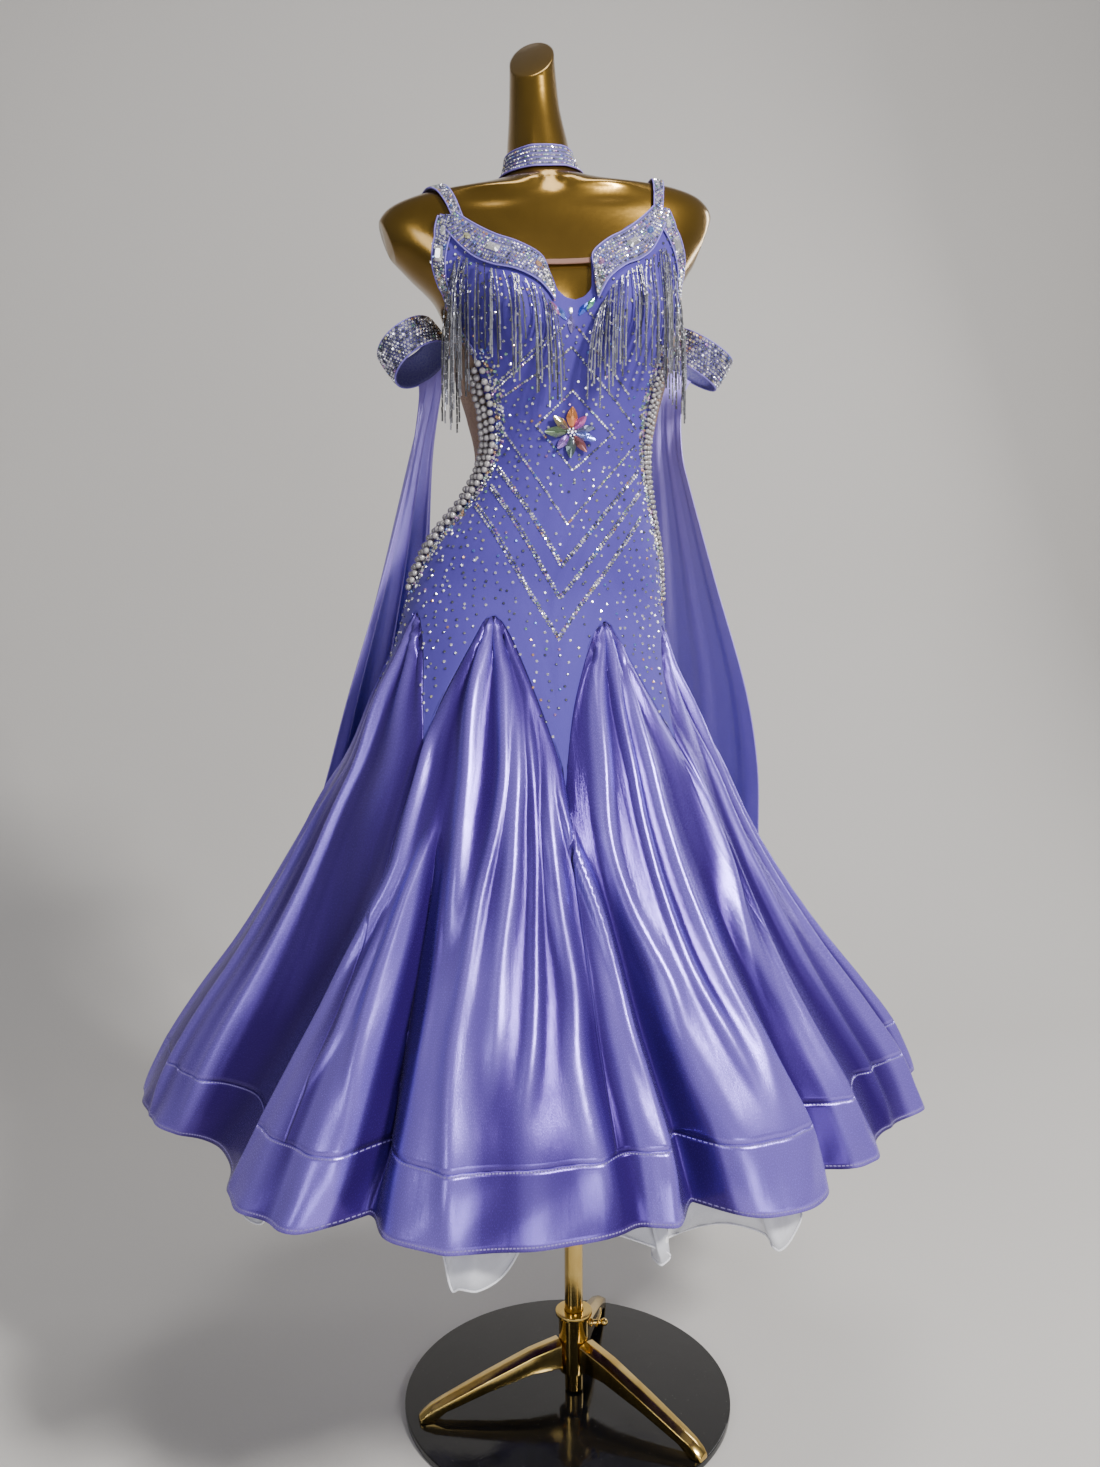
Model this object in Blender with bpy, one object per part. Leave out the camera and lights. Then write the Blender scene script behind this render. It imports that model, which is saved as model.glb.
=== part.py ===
"""Latin dance dress in lilac crepe and satin, worn on a gold dress form with its stand.

Metres, +Z up. The origin is the middle of the base disc's underside, on the pole's axis.
The dress faces -Y. Angles on the garment are in degrees from its front, + towards +X.
Every cloth piece is a wall between two copies of one figure surface, so that neighbours
meet along the same line and pieces laid on a panel follow it.
"""

import math

import bmesh
import bpy
from mathutils import Vector

GAP = 0.0003
CLOTH = 0.0015
TRIM = 0.0014

# The form stands this far inside the crepe, which lies clear of it.
CREPE_LIFT = 0.0026
PANEL_LIFT = CREPE_LIFT + CLOTH
# Flat facets of a panel bulge past its curve by less than this.
FACET = 0.0015
TRIM_LIFT = PANEL_LIFT + FACET
PEARL_LIFT = PANEL_LIFT + 0.0014

DISC_RADIUS = 0.214
DISC_MIDDLE_X = -0.009
DISC_HEIGHT = 0.0095
POLE_RADIUS = 0.012
POLE_TOP = 0.8797
POLE_FOOT = 0.012
SLEEVE_RADIUS = 0.020
SLEEVE_BORE = POLE_RADIUS + 0.0004
SLEEVE_BOTTOM = 0.040
SLEEVE_TOP = 0.121
LEG_ANGLES = (-81.0, 39.0, 159.0)
LEG_RIDGE = 0.003
SCREW_ANGLE = 81.0
SCREW_HEIGHT = 0.103

FORM_BOTTOM = 0.880
FORM_AROUND = 30
FORM_RINGS = (0.93, 0.99, 1.04, 1.075, 1.11, 1.145, 1.18, 1.215, 1.25, 1.29, 1.33, 1.37, 1.41, 1.43)
FORM_RINGS += (1.45, 1.485, 1.508, 1.524, 1.536, 1.542, 1.547, 1.551, 1.555, 1.5685, 1.582)
FORM_RINGS += (1.61, 1.755)
# Below the waist the form stands this much further inside the crepe.
WAIST = 1.160
HIP_CLEARANCE = 0.0022
# Flat cuts of the neck and of the right arm: a point, from the figure's middle for the arm,
# and the way the cut faces.
NECK_CUT = ((-0.040, 0.022, 1.696), (-0.30, -0.66, 0.69))
CUT_ABOVE = 1.400
ARM_CUT = ((0.191, 0.010, 1.470), (0.93, -0.06, -0.36))

GODETS = 8
GODET_SPREAD = 360.0 / GODETS
GODET_PEAK = 1.027
GODET_COLUMNS = 12
GODET_ROWS = 7
SEAM_STEP = GODET_SPREAD / 6
SEAM_SHARPNESS = 1.65
SIDE_SEAM = 90.0

HEM = 0.436
BAND_TOP = 0.503
PETTICOAT_TOP = 0.640
PETTICOAT_HEM = 0.447
# How far the petticoat stands inside the satin, from where it is sewn in to its hem.
# Columns: share of its height, inset.
PETTICOAT_ROWS = (
    (0.00, -0.0006),
    (0.14, 0.0220),
    (1.00, 0.0360),
)
PETTICOAT_WAVES = 17
PETTICOAT_WAVE = 0.008
ORGANZA = 0.001

# One row for each section of the form, from the neck down.
# Columns: height, centre_x, centre_y, half_width, front, back, squareness.
FORM_SECTIONS = (
    (1.760, -0.042, 0.030, 0.024, 0.028, 0.028, 2.0),
    (1.645, -0.039, 0.023, 0.030, 0.033, 0.033, 2.0),
    (1.600, -0.036, 0.019, 0.036, 0.039, 0.039, 2.0),
    (1.574, -0.034, 0.016, 0.041, 0.044, 0.044, 2.0),
    (1.556, -0.032, 0.014, 0.049, 0.050, 0.049, 2.0),
    (1.548, -0.030, 0.013, 0.076, 0.056, 0.054, 2.1),
    (1.539, -0.028, 0.012, 0.144, 0.061, 0.060, 2.2),
    (1.518, -0.027, 0.011, 0.192, 0.067, 0.067, 2.2),
    (1.485, -0.025, 0.010, 0.200, 0.074, 0.074, 2.2),
    (1.450, -0.020, 0.007, 0.177, 0.082, 0.082, 2.2),
    (1.415, -0.014, 0.004, 0.150, 0.089, 0.086, 2.2),
    (1.370, -0.010, 0.001, 0.138, 0.091, 0.087, 2.2),
    (1.320, -0.010, 0.000, 0.128, 0.086, 0.083, 2.2),
    (1.270, -0.010, 0.000, 0.114, 0.079, 0.077, 2.2),
    (1.215, -0.011, 0.000, 0.104, 0.073, 0.073, 2.2),
    (1.165, -0.018, 0.001, 0.115, 0.077, 0.081, 2.2),
    (1.110, -0.032, 0.004, 0.139, 0.086, 0.096, 2.2),
    (1.050, -0.042, 0.008, 0.154, 0.093, 0.109, 2.2),
    (0.990, -0.044, 0.010, 0.157, 0.095, 0.113, 2.2),
    (0.930, -0.040, 0.008, 0.147, 0.092, 0.105, 2.2),
    (0.880, -0.040, 0.004, 0.130, 0.084, 0.090, 2.2),
)
# The dress leaves the form at the hips and flares out over these sections.
HIP = 1.045
SKIRT_SECTIONS = (
    (0.986, -0.047, 0.004, 0.168, 0.122, 0.133, 2.1),
    (0.930, -0.050, 0.002, 0.190, 0.149, 0.160, 2.0),
    (0.865, -0.051, 0.000, 0.214, 0.181, 0.192, 2.0),
    (0.810, -0.054, 0.000, 0.240, 0.207, 0.220, 2.0),
    (0.750, -0.054, 0.000, 0.271, 0.236, 0.250, 2.0),
    (0.687, -0.052, 0.000, 0.309, 0.268, 0.284, 2.0),
    (0.629, -0.050, 0.000, 0.348, 0.301, 0.318, 2.0),
    (0.560, -0.048, 0.000, 0.400, 0.343, 0.362, 2.0),
    (0.500, -0.046, 0.000, 0.441, 0.378, 0.398, 2.0),
    (0.400, -0.048, 0.000, 0.494, 0.419, 0.440, 2.0),
)
BUST = {"reach": 0.066, "height": 1.372, "width": 0.045, "tall": 0.052, "depth": 0.033}
FORM_BUST_DEPTH = 0.024

# The figure stands with one hip out, so its shoulders and hips slope along X.
# Columns: height, slope.
SLOPES = (
    (0.860, 0.000),
    (1.000, -0.060),
    (1.100, -0.060),
    (1.250, 0.000),
    (1.380, 0.070),
    (1.800, 0.070),
)

# How low each crepe point reaches between two godets.
# Columns: angle, height.
CREPE_POINTS = (
    (0.0, 0.825),
    (45.0, 0.866),
    (90.0, 0.876),
    (135.0, 0.868),
    (180.0, 0.850),
    (225.0, 0.868),
    (270.0, 0.876),
    (315.0, 0.866),
    (360.0, 0.825),
)

# The skirt's largest folds: where each lies at the hem and at its top, how wide it is
# in degrees, how far it stands out at the hem, and the height at which it starts.
# Columns: hem_angle, top_angle, width, height, start.
FOLDS = (
    (-170.0, -172.0, 6.5, -0.052, 0.80),
    (-157.0, -156.0, 6.0, 0.016, 0.98),
    (-146.0, -146.0, 5.5, -0.046, 0.76),
    (-136.0, -140.0, 5.0, 0.012, 0.90),
    (-121.0, -120.0, 6.5, -0.054, 0.82),
    (-98.0, -92.0, 9.0, 0.014, 0.96),
    (-80.0, -76.0, 5.0, 0.010, 0.96),
    (-66.0, -48.0, 16.0, -0.070, 0.86),
    (-46.0, -40.5, 5.0, 0.016, 0.88),
    (-36.0, -33.0, 4.0, 0.018, 0.92),
    (-30.0, -28.0, 3.6, -0.046, 0.80),
    (-17.0, -18.0, 5.0, 0.014, 0.98),
    (-7.5, -10.0, 4.5, 0.008, 0.95),
    (0.5, -3.0, 3.5, 0.006, 0.84),
    (9.0, 2.0, 9.0, -0.036, 0.80),
    (9.5, 4.0, 3.4, 0.024, 0.86),
    (15.0, 8.0, 3.2, -0.036, 0.80),
    (20.0, 17.0, 4.2, 0.012, 0.96),
    (27.0, 28.0, 4.6, 0.014, 0.92),
    (36.0, 38.0, 3.6, -0.034, 0.78),
    (45.0, 46.0, 5.0, 0.010, 0.86),
    (53.0, 50.0, 13.0, -0.032, 0.84),
    (65.0, 60.0, 5.0, 0.012, 0.98),
    (77.0, 78.0, 4.6, -0.016, 0.84),
    (90.0, 88.0, 8.0, 0.014, 0.92),
    (108.0, 112.0, 5.5, -0.050, 0.80),
    (124.0, 122.0, 5.5, 0.016, 0.92),
    (137.0, 135.0, 6.0, -0.052, 0.82),
    (152.0, 156.0, 6.0, 0.016, 0.98),
    (165.0, 166.0, 5.5, -0.040, 0.78),
    (178.0, 180.0, 5.5, 0.014, 0.82),
)
PUFF = 0.008
PUFF_REACH = 0.060

# Where the petticoat's waves dip below the satin's hem.
# Columns: angle, width, drop.
DIPS = (
    (-140.0, 14.0, 0.024),
    (-64.0, 13.0, 0.026),
    (-13.0, 4.0, 0.044),
    (13.0, 10.0, 0.040),
    (75.0, 12.0, 0.020),
    (140.0, 14.0, 0.026),
)

# Where the crepe ends at the armholes and at the cut-outs beside the waist.
# Columns: height, half_span.
FRONT_EDGE = (
    (0.800, 90.0),
    (1.040, 90.0),
    (1.064, 85.5),
    (1.111, 79.0),
    (1.159, 73.0),
    (1.205, 64.0),
    (1.239, 57.0),
    (1.272, 53.5),
    (1.316, 53.5),
    (1.345, 58.0),
    (1.370, 66.0),
    (1.400, 68.0),
    (1.425, 64.0),
    (1.450, 54.0),
    (1.475, 43.5),
    (1.495, 39.5),
)
BACK_EDGE = (
    (0.800, 90.0),
    (1.040, 90.0),
    (1.064, 87.5),
    (1.111, 83.0),
    (1.159, 76.0),
    (1.205, 69.0),
    (1.239, 65.0),
    (1.300, 65.0),
    (1.345, 70.0),
    (1.380, 76.0),
)
# Columns: share, height.
NECKLINE = (
    (0.000, 1.388),
    (0.055, 1.391),
    (0.100, 1.399),
    (0.132, 1.437),
    (0.250, 1.453),
    (0.460, 1.472),
    (0.770, 1.490),
    (1.000, 1.492),
)
BACK_NECKLINE = (
    (0.000, 1.245),
    (0.200, 1.262),
    (0.400, 1.346),
    (0.583, 1.358),
    (0.750, 1.360),
    (1.000, 1.362),
)
# The crepe's columns bunch up at the keyhole: column share against width share at the top.
# Columns: column, share.
KEYHOLE_COLUMNS = (
    (0.000, 0.000),
    (0.083, 0.098),
    (0.167, 0.134),
    (0.250, 0.230),
    (0.770, 0.770),
    (1.000, 1.000),
)
CREPE_COLUMNS = 24
FRONT_ROWS = 15
BACK_ROWS = 10
MESH_TOP = 1.386
MESH_BACK_TOP = 1.358
MESH_LEVEL = 1.200
MESH_BOTTOM = 1.070
MESH_SEAM = 0.0011
# The figure's radius beside the armholes and waist, and how far trims stop short of an edge.
SIDE_RADIUS = 0.130
EDGE_MARGIN = 0.3

# The stone flower: its angle and height on the dress, its petals and how far it stands out.
BROOCH_PLACE = (-1.0, 1.245)
BROOCH_LIFT = TRIM_LIFT + 0.0012
BROOCH_PETALS = 8
BROOCH_REACH = 0.029
BROOCH_NOTCH = 0.011
BROOCH_EDGE = 0.003
BROOCH_RISE = 0.005

# The lapel's two edges from the strap down to its tip at the keyhole.
# Columns: upper_angle, upper_height, lower_angle, lower_height.
LAPEL = (
    (30.5, 1.4875, 38.0, 1.4700),
    (26.0, 1.4800, 34.5, 1.4480),
    (20.5, 1.4680, 29.0, 1.4330),
    (14.5, 1.4570, 22.0, 1.4230),
    (8.8, 1.4400, 15.0, 1.4080),
    (8.6, 1.4200, 11.5, 1.3950),
    (8.9, 1.4040, 9.6, 1.3860),
)
LAPEL_COLUMNS = 9

ARMHOLE_WIDTH = 0.011
ARMHOLE_TOP = 1.4835
ARMHOLE_BOTTOM = 1.386

ELASTIC_HALF_SPAN = 7.58
ELASTIC_TOP = 1.4365
ELASTIC_WIDTH = 0.006
ELASTIC = 0.001

STRAP_WIDTH = 0.017
# A strap's distance from the figure's middle as it turns over the shoulder: -90 is straight
# forwards from the shoulder's inside, 0 straight up and 90 straight back.
# Columns: turn, inset.
STRAP = (
    (-60.0, 0.115),
    (-25.0, 0.124),
    (0.0, 0.132),
    (40.0, 0.128),
    (90.0, 0.106),
    (140.0, 0.080),
)
STRAP_HUB_Y = 0.012
STRAP_HUB_Z = 1.430
STRAP_FRONT_END = 1.4890
STRAP_BACK_END = 1.3490
STRAP_LIFT = 0.0030

PEARL_WIDTH = 0.031
# This share of the pearls' width lies on the crepe, and the rest on the sheer mesh.
PEARL_INSIDE = 0.40
PEARL_TOP = 1.330
PEARL_BOTTOM = 1.058
PEARL_SIZE = 0.0105
PEARL_ACROSS = 3
PEARL_RISE = 0.0045

STRANDS = 42
STRAND_WIDTH = 0.0022
STRAND_DEPTH = 0.0014
FRINGE_STRIP = 0.0035
FRINGE_LIFT = PANEL_LIFT + 0.0030
# Where the fringe's strip runs and how long the strands under it are.
# Columns: angle, height, length.
FRINGE = (
    (10.8, 1.3785, 0.095),
    (13.6, 1.3885, 0.110),
    (17.5, 1.4020, 0.105),
    (24.0, 1.4165, 0.100),
    (30.5, 1.4270, 0.110),
    (36.0, 1.4420, 0.135),
    (40.0, 1.4500, 0.150),
    (44.5, 1.4410, 0.145),
    (52.5, 1.4250, 0.140),
    (61.0, 1.4000, 0.120),
    (62.0, 1.3800, 0.110),
)

CHOKER_TOP = 1.5815
CHOKER_TALL = 0.0265
CHOKER_LIFT = 0.0012

BAND_RADIUS = 0.038
BAND_TALL = 0.040
BAND_HEIGHT = 1.352
BAND_BACK = 0.030
# Which way each armband's lower opening looks: the loops droop outwards.
BAND_AXES = {"left": (0.50, -0.36, -0.78), "right": (-0.50, 0.10, -0.86)}
# How far each is moved in from the figure's widest place, where it rests on the dress.
BAND_SEATS = {"left": 0.0057, "right": -0.0003}

# The drape from each armband: the middle that its X is measured from, its outer and inner
# edge, and its pleats' depth, at each height.
# Columns: height, middle_x, outer_x, outer_y, inner_x, inner_y, pleat.
DRAPE = (
    (1.280, -0.020, 0.162, 0.048, 0.140, 0.078, 0.003),
    (1.200, -0.019, 0.183, 0.046, 0.146, 0.100, 0.005),
    (1.080, -0.017, 0.218, 0.052, 0.150, 0.136, 0.008),
    (0.930, -0.015, 0.266, 0.068, 0.150, 0.194, 0.011),
    (0.820, -0.015, 0.296, 0.106, 0.142, 0.246, 0.013),
    (0.700, -0.020, 0.326, 0.172, 0.142, 0.312, 0.014),
    (0.580, -0.030, 0.366, 0.238, 0.152, 0.378, 0.014),
    (0.520, -0.034, 0.390, 0.270, 0.157, 0.410, 0.014),
)
FIGURE_MIDDLE = -0.026
DRAPE_COLUMNS = 8
DRAPE_ROWS = 11
DRAPE_PLEATS = 2.5
DRAPE_BELLY = 0.10
DRAPE_OUTER_TURN = 20.0
DRAPE_INNER_TURN = -70.0


def clear_scene():
    for old in list(bpy.data.objects):
        bpy.data.objects.remove(old, do_unlink=True)


def finish(name, colour, roughness, metallic=0.0):
    material = bpy.data.materials.new(name)
    material.use_nodes = True
    shader = material.node_tree.nodes["Principled BSDF"]
    shader.inputs["Base Color"].default_value = (*colour, 1.0)
    shader.inputs["Roughness"].default_value = roughness
    shader.inputs["Metallic"].default_value = metallic
    return material


def read(rows, at, fields=1):
    """Straight-line reading of a table whose first column rises."""
    at = min(max(at, rows[0][0]), rows[-1][0])
    for low, high in zip(rows, rows[1:]):
        if at <= high[0]:
            share = (at - low[0]) / (high[0] - low[0])
            found = [a + (b - a) * share for a, b in zip(low[1:], high[1:])]
            return found[0] if fields == 1 else found[:fields]
    return rows[-1][1]


def smooth_read(rows, at):
    """Cubic reading of a table whose first column rises, through every row."""
    at = min(max(at, rows[0][0]), rows[-1][0])
    index = 0
    while index < len(rows) - 2 and at > rows[index + 1][0]:
        index += 1
    low, high = rows[index], rows[index + 1]
    below, above = rows[max(index - 1, 0)], rows[min(index + 2, len(rows) - 1)]
    span = high[0] - low[0]
    t = (at - low[0]) / span
    found = []
    for field in range(1, len(low)):
        leave = (high[field] - below[field]) / (high[0] - below[0]) * span
        arrive = (above[field] - low[field]) / (above[0] - low[0]) * span
        found.append(
            (2 * t**3 - 3 * t**2 + 1) * low[field]
            + (t**3 - 2 * t**2 + t) * leave
            + (3 * t**2 - 2 * t**3) * high[field]
            + (t**3 - t**2) * arrive
        )
    return found


def rise(value):
    """A soft step from 0 to 1."""
    value = min(max(value, 0.0), 1.0)
    return value * value * (3.0 - 2.0 * value)


FORM_RISING = tuple(reversed(FORM_SECTIONS))
DRESS_RISING = tuple(reversed(SKIRT_SECTIONS)) + tuple(row for row in FORM_RISING if row[0] > HIP)


def signed_power(value, power):
    return math.copysign(abs(value) ** power, value)


def bust_reach(x_from_middle, height, depth):
    reach = 0.0
    for side in (-1, 1):
        across = (x_from_middle - side * BUST["reach"]) / BUST["width"]
        up = (height - BUST["height"]) / BUST["tall"]
        reach += depth * math.exp(-(across**2 + up**2))
    return reach


def section_point(rows, angle, height, bust_depth):
    """A point of the figure at an angle from its front, before its slope."""
    middle_x, middle_y, half_width, front, back, squareness = smooth_read(rows, height)
    sine, cosine = math.sin(math.radians(angle)), math.cos(math.radians(angle))
    x = half_width * signed_power(sine, 2.0 / squareness)
    y = -(front if cosine >= 0 else back) * signed_power(cosine, 2.0 / squareness)
    if cosine > 0:
        y -= bust_reach(x, height, bust_depth) * math.sqrt(cosine)
    slope = read(SLOPES, height)
    return Vector((middle_x + x, middle_y + y, height + slope * x))


def form_point(angle, height):
    return section_point(FORM_RISING, angle, height, FORM_BUST_DEPTH)


def seam_height(angle):
    """The crepe's zigzag lower edge, from a godet's peak down to the points beside it."""
    angle %= 360.0
    step = math.floor(angle / SEAM_STEP)
    low, high = (seam_at(knot * SEAM_STEP) for knot in (step, step + 1))
    return low + (high - low) * (angle / SEAM_STEP - step)


def seam_at(angle):
    half = GODET_SPREAD / 2.0
    from_peak = abs((angle % GODET_SPREAD) - half) / half
    drop = 1.0 - (1.0 - from_peak) ** (1.0 / SEAM_SHARPNESS)
    point = read(CREPE_POINTS, angle % 360.0)
    return GODET_PEAK - (GODET_PEAK - point) * drop


def seam_gap(angle):
    """Half the height to leave at the seam, so that the gap square to it stays the same."""
    reach = 0.21 * math.radians(SEAM_STEP)
    slope = abs(seam_height(angle + 1.0) - seam_height(angle - 1.0)) / 2.0 * SEAM_STEP / reach
    return 0.9 * GAP * math.sqrt(1.0 + slope**2)


def fold_reach(angle, height):
    """How far the satin stands out from the skirt's plain sections."""
    below_seam = max(0.0, seam_height(angle) - height)
    if below_seam == 0.0:
        return 0.0
    reach = PUFF * (1.0 - math.exp(-below_seam / PUFF_REACH))
    for hem_angle, top_angle, width, out, start in FOLDS:
        down = (start - height) / (start - HEM)
        if down <= 0.0:
            continue
        middle = top_angle + (hem_angle - top_angle) * down
        away = (angle - middle + 180.0) % 360.0 - 180.0
        grown = rise(down) ** 0.8 * (1.0 - math.exp(-below_seam / 0.08))
        reach += out * grown * math.exp(-((away / width) ** 2))
    return reach


def dress_point(angle, height):
    """The dress's own surface: on the form above the hips, and flared with folds below."""
    point = section_point(DRESS_RISING, angle, height, BUST["depth"])
    reach = fold_reach(angle, height)
    if reach:
        turn = math.radians(angle)
        point += Vector((math.sin(turn), -math.cos(turn), 0.0)) * reach
    return point


def lifted(surface, angle, height, lift):
    """A point moved out square to the surface."""
    across = surface(angle + 0.4, height) - surface(angle - 0.4, height)
    up = surface(angle, height + 0.002) - surface(angle, height - 0.002)
    out = across.cross(up).normalized()
    return surface(angle, height) + out * lift


def on_dress(angle, height, lift):
    return lifted(dress_point, angle, height, lift)


def beside(angle, reach, point):
    """A point moved along the figure's side by a reach."""
    turn = math.radians(angle)
    return point + Vector((math.cos(turn), math.sin(turn), 0.0)) * reach


def edge_of(across):
    """-1 or 1 on a panel's two side edges, and 0 between them."""
    return float(math.trunc(across * 1.0001))


def keep(name, bm, material, parent=None, smooth=True):
    if bm.calc_volume(signed=True) < 0.0:
        bmesh.ops.reverse_faces(bm, faces=bm.faces)
    mesh = bpy.data.meshes.new(name)
    bm.to_mesh(mesh)
    bm.free()
    mesh.materials.append(material)
    if smooth:
        mesh.shade_smooth()
        mesh.set_sharp_from_angle(angle=math.radians(40))
    made = bpy.data.objects.new(name, mesh)
    bpy.context.scene.collection.objects.link(made)
    made.parent = parent
    return made


def wall(name, columns, rows, place, material, parent, ring=False, dress=None):
    """A cloth wall: a sheet extruded to two layers, each point then put at
    place(share across, share down, 0 inside or 1 outside)."""
    bm = bmesh.new()
    bmesh.ops.create_grid(bm, x_segments=columns, y_segments=rows, size=0.5)
    bmesh.ops.translate(bm, verts=bm.verts, vec=(0.5, 0.5, 0.0))
    sheet = bm.verts[:] + bm.edges[:] + bm.faces[:]
    grown = bmesh.ops.extrude_face_region(bm, geom=sheet, use_keep_orig=True)["geom"]
    layer = [item for item in grown if isinstance(item, bmesh.types.BMVert)]
    bmesh.ops.translate(bm, verts=layer, vec=(0.0, 0.0, 1.0))
    if ring:
        ends = []
        for face in bm.faces:
            middle = face.calc_center_median()
            if middle.x < 1e-5 or middle.x > 1.0 - 1e-5:
                ends.append(face)
        bmesh.ops.delete(bm, geom=ends, context="FACES")
    if dress:
        dress(bm)
    for vert in bm.verts:
        share, down, out = vert.co
        vert.co = place(share, 1.0 - down, out)
    bmesh.ops.remove_doubles(bm, verts=bm.verts, dist=1e-6)
    bmesh.ops.recalc_face_normals(bm, faces=bm.faces)
    return keep(name, bm, material, parent)


def turned(name, profile, around, material, parent, axis=(0.0, 0.0, 1.0)):
    """A closed profile of (radius, height) points spun about an axis through its parent."""
    bm = bmesh.new()
    verts = [bm.verts.new((radius, 0.0, height)) for radius, height in profile]
    face = bm.faces.new(verts)
    bmesh.ops.spin(
        bm,
        geom=[face, *face.edges, *verts],
        cent=(0.0, 0.0, 0.0),
        axis=(0.0, 0.0, 1.0),
        angle=math.tau,
        steps=around,
        use_merge=True,
        use_duplicate=False,
    )
    bmesh.ops.remove_doubles(bm, verts=bm.verts, dist=1e-6)
    inner = [face for face in bm.faces if len(face.verts) == len(profile) and len(profile) > 4]
    bmesh.ops.delete(bm, geom=inner, context="FACES_ONLY")
    turn = Vector((0.0, 0.0, 1.0)).rotation_difference(Vector(axis)).to_matrix().to_4x4()
    bmesh.ops.transform(bm, matrix=turn, verts=bm.verts)
    bmesh.ops.recalc_face_normals(bm, faces=bm.faces)
    return keep(name, bm, material, parent)


def cylinder(name, radius, low, high, around, material, parent):
    bm = bmesh.new()
    bmesh.ops.create_cone(
        bm,
        cap_ends=True,
        segments=around,
        radius1=radius,
        radius2=radius,
        depth=high - low,
    )
    bmesh.ops.translate(bm, verts=bm.verts, vec=(0.0, 0.0, (low + high) / 2.0))
    return keep(name, bm, material, parent)


def make_stand(stand, raised, clamp, brass, black):
    """The glossy disc, the three folded legs, the sleeve with its clamp screw, and the pole."""
    bm = bmesh.new()
    bmesh.ops.create_cone(
        bm,
        cap_ends=True,
        segments=56,
        radius1=DISC_RADIUS,
        radius2=DISC_RADIUS,
        depth=DISC_HEIGHT,
    )
    bmesh.ops.translate(bm, verts=bm.verts, vec=(DISC_MIDDLE_X, 0.0, DISC_HEIGHT / 2.0))
    keep("base_disc", bm, black, stand)
    # Stations along a leg: reach from the axis, top, bottom and width.
    stations = (
        (SLEEVE_RADIUS + GAP, 0.082, 0.050, 0.026),
        (0.060, 0.073, 0.050, 0.026),
        (0.120, 0.053, 0.037, 0.024),
        (0.176, 0.033, 0.021, 0.021),
        (0.197, 0.025, DISC_HEIGHT + GAP, 0.019),
        (0.209, 0.018, DISC_HEIGHT + GAP, 0.016),
    )
    for number, angle in enumerate(LEG_ANGLES, start=1):
        out = Vector((math.sin(math.radians(angle)), -math.cos(math.radians(angle)), 0.0))
        side = Vector((-out.y, out.x, 0.0))
        bm = bmesh.new()
        rings = []
        for reach, top, bottom, width in stations:
            corners = []
            section = ((-0.5, bottom), (0.5, bottom), (0.5, top), (0.0, top + LEG_RIDGE), (-0.5, top))
            for across, height in section:
                corners.append(out * reach + side * width * across + Vector((0.0, 0.0, height)))
            ring = [bm.verts.new(corner) for corner in corners]
            rings.append([bm.edges.new((ring[i], ring[(i + 1) % len(ring)])) for i in range(len(ring))])
            if reach in (stations[0][0], stations[-1][0]):
                bm.faces.new(ring)
        for first, second in zip(rings, rings[1:]):
            bmesh.ops.bridge_loops(bm, edges=first + second)
        bmesh.ops.recalc_face_normals(bm, faces=bm.faces)
        keep(f"stand_leg_{number}", bm, brass, stand)
    sleeve = (
        (SLEEVE_BORE, SLEEVE_BOTTOM),
        (SLEEVE_RADIUS, SLEEVE_BOTTOM),
        (SLEEVE_RADIUS, SLEEVE_TOP - 0.006),
        (SLEEVE_RADIUS + 0.004, SLEEVE_TOP - 0.005),
        (SLEEVE_RADIUS + 0.004, SLEEVE_TOP),
        (SLEEVE_BORE, SLEEVE_TOP),
    )
    turned("stand_sleeve", sleeve, 32, brass, stand)
    cylinder("pole", POLE_RADIUS, POLE_FOOT, POLE_TOP, 24, brass, raised)
    screw = (
        (0.0, 0.0),
        (0.0040, 0.0),
        (0.0040, 0.0100),
        (0.0110, 0.0120),
        (0.0120, 0.0150),
        (0.0120, 0.0210),
        (0.0100, 0.0240),
        (0.0, 0.0250),
    )
    aim = math.radians(SCREW_ANGLE)
    out = Vector((math.sin(aim), -math.cos(aim), 0.0))
    clamp.location = out * (SLEEVE_RADIUS + GAP) + Vector((0.0, 0.0, SCREW_HEIGHT))
    turned("clamp_screw", screw, 16, brass, clamp, axis=out)


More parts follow.
